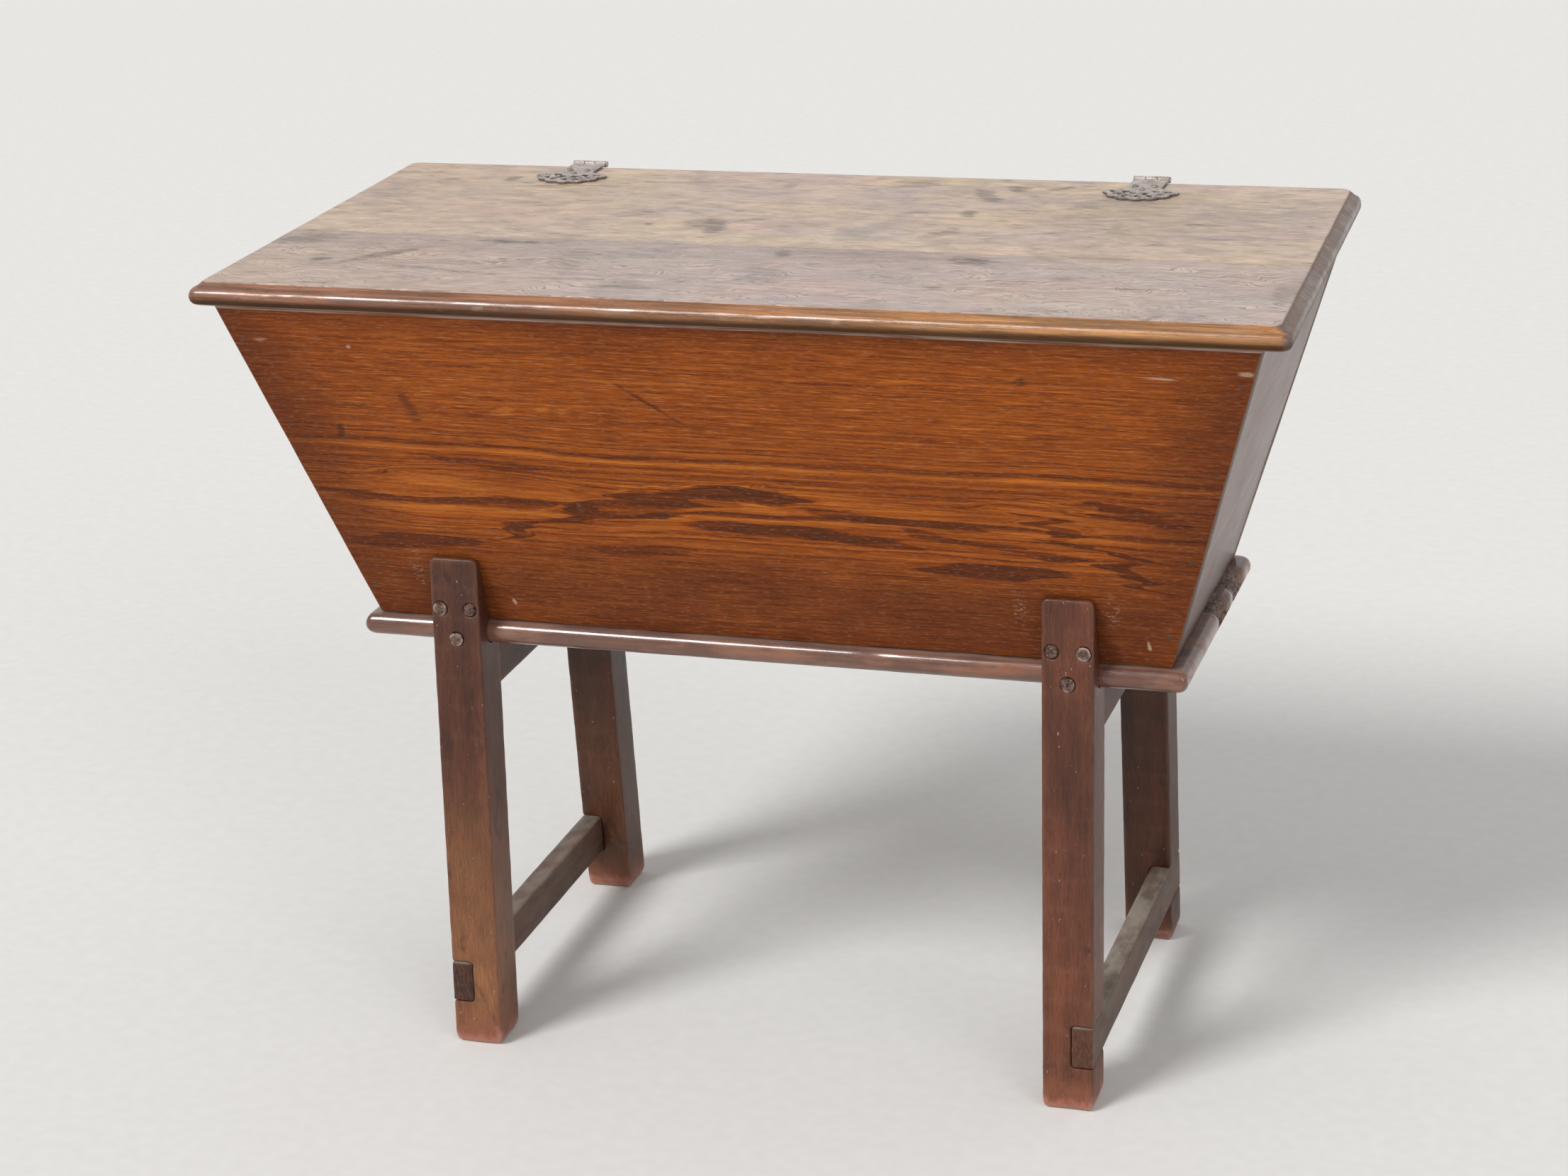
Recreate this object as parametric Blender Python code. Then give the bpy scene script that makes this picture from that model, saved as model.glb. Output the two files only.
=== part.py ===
"""Dough bin on a stand: a splayed box with a two-plank hinged lid, pegged to four notched legs.

Metres. X runs along the bin, Y towards its back and Z up; the origin is on the floor under its middle.
"""

import math

import bmesh
import bpy
from mathutils import Matrix

# Clearances
SEAT_GAP = 0.0003
PIN_GAP = 0.00015
KNUCKLE_GAP = 0.0015

# Bin and bottom board
BASE_HEIGHT = 0.4245
BASE_THICKNESS = 0.0235
BASE_END_PROJECTION = 0.0155
BASE_SIDE_PROJECTION = 0.011
BASE_NOSE_QUIRK = 0.001
BASE_CORNER_RADIUS = 0.006
BIN_LENGTH = 0.808
BIN_DEPTH = 0.320
BIN_HEIGHT = 0.340
END_SPLAY = math.radians(16.4)
SIDE_SPLAY = math.radians(15.9)
BOARD_THICKNESS = 0.019
BOARD_WEAR = 0.0012

# Lid
LID_THICKNESS = 0.022
LID_END_OVERHANG = 0.026
LID_FRONT_OVERHANG = 0.007
LID_END_SKEW = 0.016
LID_NOSE_DEPTH = 0.005
LID_BEVEL_WIDTH = 0.007
LID_BEVEL_DROP = 0.0055
LID_CORNER_RADIUS = 0.009
FRONT_PLANK_WIDTH = 0.215
BATTEN_INSET = 0.280
BATTEN_WIDTH = 0.045
BATTEN_THICKNESS = 0.018
BATTEN_END_CLEARANCE = 0.030
BATTEN_SCREW_MARGIN = 0.035

# Hinges
HINGE_INSET = 0.2235
PLATE_THICKNESS = 0.0022
NECK_WIDTH = 0.036
NECK_LENGTH = 0.042
FAN_DISTANCE = 0.050
FAN_RADIUS = 0.040
FAN_LOBES = 7
SCALLOP_DEPTH = 0.004
TEARDROP_RING = 0.0295
TEARDROP_RADIUS = 0.0034
WINDOW_COUNT = 4
WINDOW_RING = 0.0165
WINDOW_DEPTH = 0.0075
WINDOW_ANGLE = math.radians(27)
KNUCKLE_RADIUS = 0.0035
PIN_RADIUS = 0.002
PIN_HEAD = 0.0012

# Screws
SCREW_RADIUS = 0.0016
SCREW_HEAD_RADIUS = 0.0034
SCREW_HEAD_HEIGHT = 0.0014
HINGE_SCREW_LENGTH = 0.015
HINGE_SCREW_SPREAD = 0.020
HINGE_SCREW_REACH = 0.036
BATTEN_SCREW_LENGTH = 0.032

# Stand
LEG_WIDTH = 0.051
LEG_DEPTH = 0.050
LEG_INSET = 0.084
LEG_SPLAY = math.radians(3.5)
LEG_WEAR = 0.0018
FOOT_WEAR = 0.0028
EAR_HEIGHT = 0.071
EAR_TIP = 0.006
EAR_CORNER = 0.006
STRETCHER_RISE = 0.046
STRETCHER_HEIGHT = 0.043
STRETCHER_THICKNESS = 0.022
BEARER_HEIGHT = 0.052
BEARER_WIDTH = 0.045
TENON_LENGTH = 0.024
TENON_HEIGHT = 0.034
TENON_THICKNESS = 0.014

# Pegs
PEG_RADIUS = 0.0065
PEG_PROUD = 0.001
PEG_SPREAD = 0.031
UPPER_PEG_RISE = 0.019
UPPER_PEG_BITE = 0.013
LOWER_PEG_BITE = 0.030

# Facets
CORNER_STEPS = 3
NOSE_STEPS = 6
LOBE_STEPS = 4
PEG_SIDES = 12
SCREW_SIDES = 8
KNUCKLE_SIDES = 12

# Levels and planes that follow from the sizes
BASE_TOP = BASE_HEIGHT + BASE_THICKNESS
BASE_HALF_LENGTH = BIN_LENGTH / 2 + BASE_END_PROJECTION
BASE_HALF_DEPTH = BIN_DEPTH / 2 + BASE_SIDE_PROJECTION
BASE_NOSE_DEPTH = BASE_SIDE_PROJECTION - BASE_NOSE_QUIRK
BIN_FLOOR = BASE_TOP + SEAT_GAP
BIN_RIM = BIN_FLOOR + BIN_HEIGHT
SIDE_RUN = BOARD_THICKNESS / math.cos(SIDE_SPLAY)
END_RUN = BOARD_THICKNESS / math.cos(END_SPLAY)
LID_UNDERSIDE = BIN_RIM + SEAT_GAP
LID_TOP = LID_UNDERSIDE + LID_THICKNESS
LEG_RUN = LEG_DEPTH / math.cos(LEG_SPLAY)
LEG_OUT = BASE_HALF_LENGTH - LEG_INSET - LEG_WIDTH / 2
EAR_TOP = BIN_FLOOR + EAR_HEIGHT
BEARER_BOTTOM = BASE_HEIGHT - SEAT_GAP - BEARER_HEIGHT
KNUCKLE_LENGTH = NECK_WIDTH / 3
HALF_TURN = math.pi


def half_length(z):
    """Half the bin's outer length at height z."""
    return BIN_LENGTH / 2 + (z - BIN_FLOOR) * math.tan(END_SPLAY)


def half_depth(z):
    """Half the bin's outer depth at height z."""
    return BIN_DEPTH / 2 + (z - BIN_FLOOR) * math.tan(SIDE_SPLAY)


def leg_face(z):
    """Distance of a leg's outer face from the middle plane at height z."""
    return half_depth(EAR_TOP) + EAR_TIP + (EAR_TOP - z) * math.tan(LEG_SPLAY)


LID_FRONT = -half_depth(BIN_RIM) - LID_FRONT_OVERHANG
LID_HALF_LENGTH = half_length(BIN_RIM) + LID_END_OVERHANG
LID_SEAM = LID_FRONT + FRONT_PLANK_WIDTH
PIN_HEIGHT = LID_TOP + SEAT_GAP + PLATE_THICKNESS / 2
PIN_BACK = half_depth(PIN_HEIGHT) + (SEAT_GAP + PLATE_THICKNESS / 2) / math.cos(SIDE_SPLAY)
LID_BACK = half_depth(LID_UNDERSIDE)
LID_BACK_MIDDLE = -LID_END_SKEW / 2
HINGE_OUT = LID_HALF_LENGTH - HINGE_INSET
BATTEN_OUT = LID_HALF_LENGTH - BATTEN_INSET
BATTEN_BOTTOM = LID_UNDERSIDE - SEAT_GAP - BATTEN_THICKNESS
BATTEN_HALF_LENGTH = half_depth(BATTEN_BOTTOM) - SIDE_RUN - BATTEN_END_CLEARANCE
FOOT_OUT = leg_face(0) - LEG_RUN / 2

# Each leg is a half turn about Z, then a side of the unturned front
LEGS = {
    "front_left": (0, -1),
    "front_right": (0, 1),
    "back_right": (HALF_TURN, -1),
    "back_left": (HALF_TURN, 1),
}
SIDES = {"left": -1, "right": 1}


# Scene and materials


def clear_scene():
    for leftover in list(bpy.data.objects):
        bpy.data.objects.remove(leftover, do_unlink=True)


def make_material(name, colour, roughness, metallic=0.0):
    material = bpy.data.materials.new(name)
    material.use_nodes = True
    shader = material.node_tree.nodes["Principled BSDF"]
    shader.inputs["Base Color"].default_value = (*colour, 1.0)
    shader.inputs["Roughness"].default_value = roughness
    shader.inputs["Metallic"].default_value = metallic
    return material


def make_mesh(name, bm, material=None, smooth=None):
    """Closes the sketch into a mesh with outward faces, smooth up to the given edge angle."""
    bmesh.ops.recalc_face_normals(bm, faces=bm.faces)
    mesh = bpy.data.meshes.new(name)
    bm.to_mesh(mesh)
    bm.free()
    if material:
        mesh.materials.append(material)
    if smooth:
        mesh.shade_smooth()
        mesh.set_sharp_from_angle(angle=math.radians(smooth))
    return mesh


def place(name, mesh, frame, pivot=None):
    """Puts a mesh in the scene at a frame, under the pivot when it moves with one."""
    piece = bpy.data.objects.new(name, mesh)
    bpy.context.scene.collection.objects.link(piece)
    if pivot:
        piece.parent = pivot
        frame = Matrix.Translation(-pivot.location) @ frame
    piece.matrix_basis = frame
    return piece


def place_helper(name, mesh, frame=Matrix()):
    """A shape that only cuts or joins others."""
    helper = place(name, mesh, frame)
    helper.hide_render = True
    helper.display_type = "WIRE"
    return helper


def combine(piece, operation, helper):
    modifier = piece.modifiers.new(helper.name, "BOOLEAN")
    modifier.operation = operation
    modifier.solver = "EXACT"
    modifier.object = helper


# Frames


def shift(x, y, z):
    return Matrix.Translation((x, y, z))


def turn(angle, axis):
    return Matrix.Rotation(angle, 4, axis)


# Sketches of solids


def stack(loops):
    """Closed body through equally long loops of points, capped at both ends."""
    bm = bmesh.new()
    rings = [[bm.verts.new(point) for point in loop] for loop in loops]
    for lower, upper in zip(rings, rings[1:]):
        for index in range(len(lower)):
            following = (index + 1) % len(lower)
            bm.faces.new((lower[index], lower[following], upper[following], upper[index]))
    bm.faces.new(rings[0][::-1])
    bm.faces.new(rings[-1])
    bmesh.ops.recalc_face_normals(bm, faces=bm.faces)
    return bm


def wear(bm, edges, amount):
    settings = {"segments": 2, "profile": 0.5, "affect": "EDGES", "clamp_overlap": True}
    bmesh.ops.bevel(bm, geom=edges, offset=amount, **settings)


def block(lower, upper, worn=0.0):
    """Six-sided solid between two four-cornered outlines, with all its edges worn."""
    bm = stack((lower, upper))
    if worn:
        wear(bm, bm.edges[:], worn)
    return bm


def oblong(half_x, half_y, z):
    return [(-half_x, -half_y, z), (half_x, -half_y, z), (half_x, half_y, z), (-half_x, half_y, z)]


def turned(rings, sides):
    """Round body about Z through (radius, height) rings."""
    loops = []
    for radius, z in rings:
        angles = [2 * math.pi * side / sides for side in range(sides)]
        loops.append([(radius * math.cos(angle), radius * math.sin(angle), z) for angle in angles])
    return stack(loops)


def add_copies(bm, mesh, frames):
    for frame in frames:
        copy = mesh.copy()
        copy.transform(frame)
        bm.from_mesh(copy)
        bpy.data.meshes.remove(copy)
    return bm


def rounded_outline(left, front, right, back, radii, z):
    """Loop at height z, its corners rounded by radii from the front left one anticlockwise."""
    corners = ((left, front, 1, 1), (right, front, -1, 1), (right, back, -1, -1), (left, back, 1, -1))
    points = []
    for number, ((x, y, along, across), radius) in enumerate(zip(corners, radii)):
        steps = CORNER_STEPS if radius else 0
        for step in range(steps + 1):
            angle = math.pi + math.pi / 2 * (number + step / max(steps, 1))
            corner_x = x + radius * (along + math.cos(angle))
            corner_y = y + radius * (across + math.sin(angle))
            points.append((corner_x, corner_y, z))
    return points


def nose(thickness, depth):
    """Half-round edge from its underside up, as (inset, height) points."""
    angles = [math.pi * (step / NOSE_STEPS - 0.5) for step in range(NOSE_STEPS + 1)]
    return [(depth * (1 - math.cos(angle)), thickness / 2 * (1 + math.sin(angle))) for angle in angles]


def flat_board(left, front, right, back, worked, radii, profile):
    """Board lying flat, drawn in by the profile's inset on each worked side."""
    loops = []
    for inset, z in profile:
        drawn_in = [inset * side for side in worked]
        sides = (left + drawn_in[0], front + drawn_in[1], right - drawn_in[2], back - drawn_in[3])
        loops.append(rounded_outline(*sides, radii, z))
    return stack(loops)


# Bin


def side_board_mesh(material):
    """Front board, covering the end boards' edges; half turned it is the back board."""
    loops = []
    for z in (BIN_FLOOR, BIN_RIM):
        long, deep = half_length(z), half_depth(z)
        loops.append([
            (-long, -deep, z - BIN_FLOOR),
            (long, -deep, z - BIN_FLOOR),
            (long, SIDE_RUN - deep, z - BIN_FLOOR),
            (-long, SIDE_RUN - deep, z - BIN_FLOOR),
        ])
    return make_mesh("side_board", block(*loops, BOARD_WEAR), material)


def end_board_mesh(material):
    """Right end board, fitted between the side boards; half turned it is the left one."""
    loops = []
    for z in (BIN_FLOOR, BIN_RIM):
        long, deep = half_length(z), half_depth(z) - SIDE_RUN - SEAT_GAP
        loops.append([
            (long - END_RUN, -deep, z - BIN_FLOOR),
            (long, -deep, z - BIN_FLOOR),
            (long, deep, z - BIN_FLOOR),
            (long - END_RUN, deep, z - BIN_FLOOR),
        ])
    return make_mesh("end_board", block(*loops, BOARD_WEAR), material)


def bottom_board_mesh(material):
    sides = (-BASE_HALF_LENGTH, -BASE_HALF_DEPTH, BASE_HALF_LENGTH, BASE_HALF_DEPTH)
    bm = flat_board(*sides, (1, 1, 1, 1), [BASE_CORNER_RADIUS] * 4, nose(BASE_THICKNESS, BASE_NOSE_DEPTH))
    return make_mesh("bottom_board", bm, material, 35)


def build_bin(materials):
    pieces = {}
    side_board = side_board_mesh(materials["board"])
    end_board = end_board_mesh(materials["end"])
    floor = shift(0, 0, BIN_FLOOR)
    pieces["front_board"] = place("front_board", side_board, floor)
    pieces["back_board"] = place("back_board", side_board, floor @ turn(HALF_TURN, "Z"))
    pieces["right_end_board"] = place("right_end_board", end_board, floor)
    pieces["left_end_board"] = place("left_end_board", end_board, floor @ turn(HALF_TURN, "Z"))
    bottom = bottom_board_mesh(materials["bottom"])
    pieces["bottom_board"] = place("bottom_board", bottom, shift(0, 0, BASE_HEIGHT))
    return pieces


# Lid


def lid_profile():
    """Half-round nose under a bevel that runs up to the lid's top."""
    rounding = nose(LID_THICKNESS - LID_BEVEL_DROP, LID_NOSE_DEPTH)
    return rounding + [(LID_NOSE_DEPTH + LID_BEVEL_WIDTH, LID_THICKNESS)]


def lid_plank(front, back, worked, radii):
    """Lid plank; the lid's right end is cut out of square, falling in towards the back."""
    bm = flat_board(-LID_HALF_LENGTH, front, LID_HALF_LENGTH, back, worked, radii, lid_profile())
    for vert in bm.verts:
        if vert.co.x > 0:
            vert.co.x -= LID_END_SKEW * (vert.co.y - LID_FRONT) / (LID_BACK - LID_FRONT)
    return bm


def front_plank_mesh(material):
    radii = (LID_CORNER_RADIUS, LID_CORNER_RADIUS, 0, 0)
    bm = lid_plank(LID_FRONT, LID_SEAM - SEAT_GAP / 2, (1, 1, 1, 0), radii)
    return make_mesh("lid_front_plank", bm, material, 35)


def back_plank_mesh(material):
    radii = (0, 0, LID_CORNER_RADIUS, LID_CORNER_RADIUS)
    bm = lid_plank(LID_SEAM + SEAT_GAP / 2, LID_BACK, (1, 0, 1, 0), radii)
    return make_mesh("lid_back_plank", bm, material, 35)


def batten_mesh(material):
    lower = oblong(BATTEN_WIDTH / 2, BATTEN_HALF_LENGTH, 0)
    upper = oblong(BATTEN_WIDTH / 2, BATTEN_HALF_LENGTH, BATTEN_THICKNESS)
    return make_mesh("batten", block(lower, upper, BOARD_WEAR), material)


def batten_screw_frames(side):
    """Four screws up through a batten, two into each plank."""
    x = side * BATTEN_OUT
    rows = (
        -BATTEN_HALF_LENGTH + BATTEN_SCREW_MARGIN,
        LID_SEAM - BATTEN_SCREW_MARGIN,
        LID_SEAM + BATTEN_SCREW_MARGIN,
        BATTEN_HALF_LENGTH - BATTEN_SCREW_MARGIN,
    )
    return [shift(x, y, BATTEN_BOTTOM) @ turn(HALF_TURN, "X") for y in rows]


def build_lid(materials, pivot):
    pieces = {}
    level = shift(0, 0, LID_UNDERSIDE)
    front_plank = front_plank_mesh(materials["front_plank"])
    back_plank = back_plank_mesh(materials["back_plank"])
    pieces["lid_front_plank"] = place("lid_front_plank", front_plank, level, pivot)
    pieces["lid_back_plank"] = place("lid_back_plank", back_plank, level, pivot)
    batten = batten_mesh(materials["batten"])
    for name, side in SIDES.items():
        frame = shift(side * BATTEN_OUT, 0, BATTEN_BOTTOM)
        pieces[f"lid_batten_{name}"] = place(f"lid_batten_{name}", batten, frame, pivot)
    return pieces


# Hinges


def fan_edge():
    """Scalloped half-round edge, from the right shoulder round to the left one."""
    points = []
    count = FAN_LOBES * LOBE_STEPS
    for step in range(count + 1):
        angle = math.pi * step / count
        reach = FAN_RADIUS - SCALLOP_DEPTH * (1 - abs(math.sin(angle * FAN_LOBES)))
        points.append((reach * math.cos(angle), -FAN_DISTANCE - reach * math.sin(angle)))
    return points


def leaf_outline(tab_spans):
    """Outline of a leaf in its plane: tabs into its own knuckles, neck, shoulders and fan."""
    clear = -KNUCKLE_RADIUS - KNUCKLE_GAP
    tab = -(KNUCKLE_RADIUS + PIN_RADIUS + PIN_GAP) / 2
    points = [(-NECK_WIDTH / 2, clear)]
    for start, end in tab_spans:
        points += [(start, clear), (start, tab), (end, tab), (end, clear)]
    points += [(NECK_WIDTH / 2, clear), (NECK_WIDTH / 2, -NECK_LENGTH)]
    points += fan_edge()
    points.append((-NECK_WIDTH / 2, -NECK_LENGTH))
    kept = [points[0]]
    for point in points[1:]:
        if math.dist(point, kept[-1]) > SEAT_GAP / 10:
            kept.append(point)
    return kept


def on_fan(radius, angle):
    return (radius * math.cos(angle), -FAN_DISTANCE - radius * math.sin(angle))


def teardrops():
    """One piercing in each lobe, drawn out towards the middle of the fan."""
    loops = []
    for lobe in range(FAN_LOBES):
        middle = math.pi * (lobe + 0.5) / FAN_LOBES
        loop = []
        for step in range(8):
            angle = math.pi * step / 4
            inward = TEARDROP_RADIUS * (math.cos(angle) + max(0, math.cos(angle)) ** 6)
            across = TEARDROP_RADIUS * math.sin(angle)
            ring = TEARDROP_RING - inward
            loop.append(on_fan(math.hypot(ring, across), middle + math.atan2(across, ring)))
        loops.append(loop)
    return loops


def windows():
    """Arched piercings nearer the middle of the fan."""
    loops = []
    far, near = WINDOW_RING + WINDOW_DEPTH / 2, WINDOW_RING - WINDOW_DEPTH / 2
    for number in range(WINDOW_COUNT):
        middle = math.pi * (number + 0.5) / WINDOW_COUNT
        outer = [on_fan(far, middle + WINDOW_ANGLE * (step / 4 - 0.5)) for step in range(5)]
        inner = [on_fan(near, middle + WINDOW_ANGLE * (0.5 - step / 2)) for step in range(3)]
        loops.append(outer + inner)
    return loops


def leaf_mesh(name, material, tab_spans):
    """Pierced plate about its middle plane, with the pin's axis along X at the origin."""
    bm = bmesh.new()
    for loop in [leaf_outline(tab_spans)] + teardrops() + windows():
        corners = [bm.verts.new((x, y, -PLATE_THICKNESS / 2)) for x, y in loop]
        for corner, following in zip(corners, corners[1:] + corners[:1]):
            bm.edges.new((corner, following))
    bmesh.ops.triangle_fill(bm, use_beauty=True, edges=bm.edges[:], normal=(0, 0, 1))
    raised = bmesh.ops.extrude_face_region(bm, geom=bm.faces[:])
    verts = [item for item in raised["geom"] if isinstance(item, bmesh.types.BMVert)]
    bmesh.ops.translate(bm, verts=verts, vec=(0, 0, PLATE_THICKNESS))
    return make_mesh(name, bm, material)


def knuckle_mesh(name, spans):
    """Tubes about the pin, one for each span along X."""
    bm = bmesh.new()
    bore = PIN_RADIUS + PIN_GAP
    angles = [2 * math.pi * side / KNUCKLE_SIDES for side in range(KNUCKLE_SIDES)]
    for start, end in spans:
        rings = []
        for x, radius in ((start, KNUCKLE_RADIUS), (end, KNUCKLE_RADIUS), (end, bore), (start, bore)):
            rings.append([bm.verts.new((x, radius * math.cos(a), radius * math.sin(a))) for a in angles])
        for ring, following in zip(rings, rings[1:] + rings[:1]):
            for index in range(KNUCKLE_SIDES):
                after = (index + 1) % KNUCKLE_SIDES
                bm.faces.new((ring[index], ring[after], following[after], following[index]))
    return make_mesh(name, bm, None, 40)


def knuckle_spans():
    """Spans of the lid leaf's two outer knuckles and of the back leaf's middle one."""
    inner = KNUCKLE_LENGTH / 2
    outer = NECK_WIDTH / 2
    lid = [(-outer, -inner - SEAT_GAP / 2), (inner + SEAT_GAP / 2, outer)]
    back = [(-inner + SEAT_GAP / 2, inner - SEAT_GAP / 2)]
    return lid, back


def pin_mesh(material):
    """Pin with a riveted head beyond each end of the barrel."""
    end = NECK_WIDTH / 2 + SEAT_GAP
    tip = end + PIN_HEAD
    rim = tip - PIN_HEAD / 3
    head = KNUCKLE_RADIUS - SEAT_GAP
    rings = [(PIN_RADIUS, -tip), (head, -rim), (head, -end), (PIN_RADIUS, -end)]
    rings += [(PIN_RADIUS, end), (head, end), (head, rim), (PIN_RADIUS, tip)]
    return make_mesh("hinge_pin", turned(rings, KNUCKLE_SIDES), material, 35)


def hinge_frames(side):
    """Frames of the two leaves: the lid leaf lies flat, the back leaf follows the back board."""
    lid = shift(LID_BACK_MIDDLE + side * HINGE_OUT, PIN_BACK, PIN_HEIGHT)
    return lid, lid @ turn(math.pi / 2 - SIDE_SPLAY, "X")


def hinge_screw_frames(leaf, outward):
    """Two screws across the neck and one in the middle of the fan, on the leaf's outer side."""
    seat = leaf @ turn(0 if outward > 0 else HALF_TURN, "X")
    spots = (
        (-HINGE_SCREW_SPREAD / 2, HINGE_SCREW_REACH),
        (HINGE_SCREW_SPREAD / 2, HINGE_SCREW_REACH),
        (0, FAN_DISTANCE),
    )
    return [seat @ shift(x, -outward * reach, PLATE_THICKNESS / 2) for x, reach in spots]


def build_hinges(materials, pivot):
    pieces = {}
    lid_spans, back_spans = knuckle_spans()
    lid_leaf = leaf_mesh("lid_leaf", materials["iron"], lid_spans)
    back_leaf = leaf_mesh("back_leaf", materials["iron"], back_spans)
    lid_knuckles = knuckle_mesh("lid_knuckles", lid_spans)
    back_knuckles = knuckle_mesh("back_knuckles", back_spans)
    pin = pin_mesh(materials["pin"])
    for name, side in SIDES.items():
        lid_frame, back_frame = hinge_frames(side)
        lid = place(f"hinge_{name}_lid_leaf", lid_leaf, lid_frame, pivot)
        combine(lid, "UNION", place_helper(f"knuckles_{name}_lid", lid_knuckles, lid_frame))
        back = place(f"hinge_{name}_back_leaf", back_leaf, back_frame)
        combine(back, "UNION", place_helper(f"knuckles_{name}_back", back_knuckles, back_frame))
        place(f"hinge_{name}_pin", pin, lid_frame @ turn(math.pi / 2, "Y"))
        pieces[lid.name] = lid
        pieces[back.name] = back
    return pieces


# Screws


def screw_mesh(name, length, material):
    """Round-headed wood screw, its head seated just above the origin."""
    seat = SEAT_GAP
    rings = [
        (SCREW_RADIUS / 4, -length),
        (SCREW_RADIUS, -length * 3 / 4),
        (SCREW_RADIUS, seat),
        (SCREW_HEAD_RADIUS, seat),
        (SCREW_HEAD_RADIUS, seat + SCREW_HEAD_HEIGHT / 3),
        (SCREW_HEAD_RADIUS * 2 / 3, seat + SCREW_HEAD_HEIGHT),
    ]
    return make_mesh(name, turned(rings, SCREW_SIDES), material, 35)


def hole_mesh(name, radius, length, sides):
    """Cutter for a hole from beyond the surface to just past a fastener's tip."""
    beyond = radius + length / 4
    return make_mesh(name, turned([(radius, -length - SEAT_GAP), (radius, beyond)], sides))


def build_screws(materials, pivot, pieces):
    hinge_screw = screw_mesh("hinge_screw", HINGE_SCREW_LENGTH, materials["screw"])
    batten_screw = screw_mesh("batten_screw", BATTEN_SCREW_LENGTH, materials["screw"])
    hinge_hole = hole_mesh("hinge_hole", SCREW_RADIUS + SEAT_GAP, HINGE_SCREW_LENGTH, SCREW_SIDES)
    batten_hole = hole_mesh("batten_hole", SCREW_RADIUS + SEAT_GAP, BATTEN_SCREW_LENGTH, SCREW_SIDES)
    holes = bmesh.new()
    for name, side in SIDES.items():
        lid_frame, back_frame = hinge_frames(side)
        runs = (
            ("lid", hinge_screw, hinge_hole, hinge_screw_frames(lid_frame, 1), pivot),
            ("back", hinge_screw, hinge_hole, hinge_screw_frames(back_frame, -1), None),
            ("batten", batten_screw, batten_hole, batten_screw_frames(side), pivot),
        )
        for group, screw, hole, frames, moves in runs:
            add_copies(holes, hole, frames)
            for number, frame in enumerate(frames, 1):
                place(f"{group}_screw_{name}_{number}", screw, frame, moves)
    cutter = place_helper("screw_holes", make_mesh("screw_holes", holes))
    for name, piece in pieces.items():
        if name.startswith(("lid_", "hinge_")) or name == "back_board":
            combine(piece, "DIFFERENCE", cutter)


# Stand


def leg_profile():
    """Side view of a leg as (distance out from the middle plane, height), from the foot's inner edge."""
    points = [(leg_face(0), 0), (leg_face(0) - LEG_RUN, 0)]
    shoulder = BASE_HEIGHT - SEAT_GAP
    points.append((leg_face(shoulder) - LEG_RUN, shoulder))
    start = BASE_HALF_DEPTH - BASE_NOSE_DEPTH
    for inset, z in nose(BASE_THICKNESS + 2 * SEAT_GAP, BASE_NOSE_DEPTH + SEAT_GAP):
        points.append((start + BASE_NOSE_DEPTH + SEAT_GAP - inset, shoulder + z))
    gap = SEAT_GAP / math.cos(SIDE_SPLAY)
    points.append((half_depth(BIN_FLOOR) + gap, BIN_FLOOR))
    points.append((half_depth(EAR_TOP) + gap, EAR_TOP))
    points.append((leg_face(EAR_TOP), EAR_TOP))
    return points


def sharp_rim(bm, picked):
    """Sharp edges between the faces that a test picks and all others."""
    edges = [edge for edge in bm.edges if sum(bool(picked(face)) for face in edge.link_faces) == 1]
    return [edge for edge in edges if edge.calc_face_angle() > math.pi / 3]


def leg_mesh(material):
    """Leg with its ear in one piece, notched round the bottom board's nose."""
    half = LEG_WIDTH / 2
    profile = leg_profile()
    bm = stack([[(x, FOOT_OUT - out, z) for out, z in profile] for x in (-half, half)])
    top = [edge for edge in bm.edges if min(vert.co.z for vert in edge.verts) > EAR_TOP - SEAT_GAP]
    ear_corners = [edge for edge in top if abs(edge.verts[0].co.x - edge.verts[1].co.x) < SEAT_GAP]
    bmesh.ops.bevel(bm, geom=ear_corners, offset=EAR_CORNER, segments=3, profile=0.5, affect="EDGES")
    foot = sharp_rim(bm, lambda face: face.normal.z < -0.99 and face.calc_center_median().z < SEAT_GAP)
    wear(bm, foot, FOOT_WEAR)
    wear(bm, sharp_rim(bm, lambda face: face.normal.y < -0.99), LEG_WEAR)
    inner = sharp_rim(bm, lambda face: face.normal.y > 0.99 and face.calc_center_median().z < BEARER_BOTTOM)
    wear(bm, [edge for edge in inner if edge.calc_length() > 2 * LEG_WIDTH], LEG_WEAR)
    return make_mesh("leg", bm, material, 35)


def stretcher_block(grown, longer, worn):
    """Stretcher about its middle, its ends sloped like the legs' faces."""
    loops = []
    for z in (-grown, STRETCHER_HEIGHT + grown):
        loops.append(oblong(STRETCHER_THICKNESS / 2 + grown, leg_face(STRETCHER_RISE + z) + longer, z))
    return block(*loops, worn)


def bearer_block():
    """Bearer between a front and a back leg, its ends sloped like the legs' inner faces."""
    loops = []
    for z in (0, BEARER_HEIGHT):
        loops.append(oblong(BEARER_WIDTH / 2, leg_face(BEARER_BOTTOM + z) - LEG_RUN - SEAT_GAP, z))
    return block(*loops, BOARD_WEAR)


def tenon_block(grown):
    """Bar through a bearer whose two ends are its tenons."""
    low = (BEARER_HEIGHT - TENON_HEIGHT) / 2
    reach = leg_face(BEARER_BOTTOM + BEARER_HEIGHT / 2) - LEG_RUN + TENON_LENGTH + grown
    loops = []
    for z in (low - grown, low + TENON_HEIGHT + grown):
        loops.append(oblong(TENON_THICKNESS / 2 + grown, reach, z))
    return block(*loops)


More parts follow.
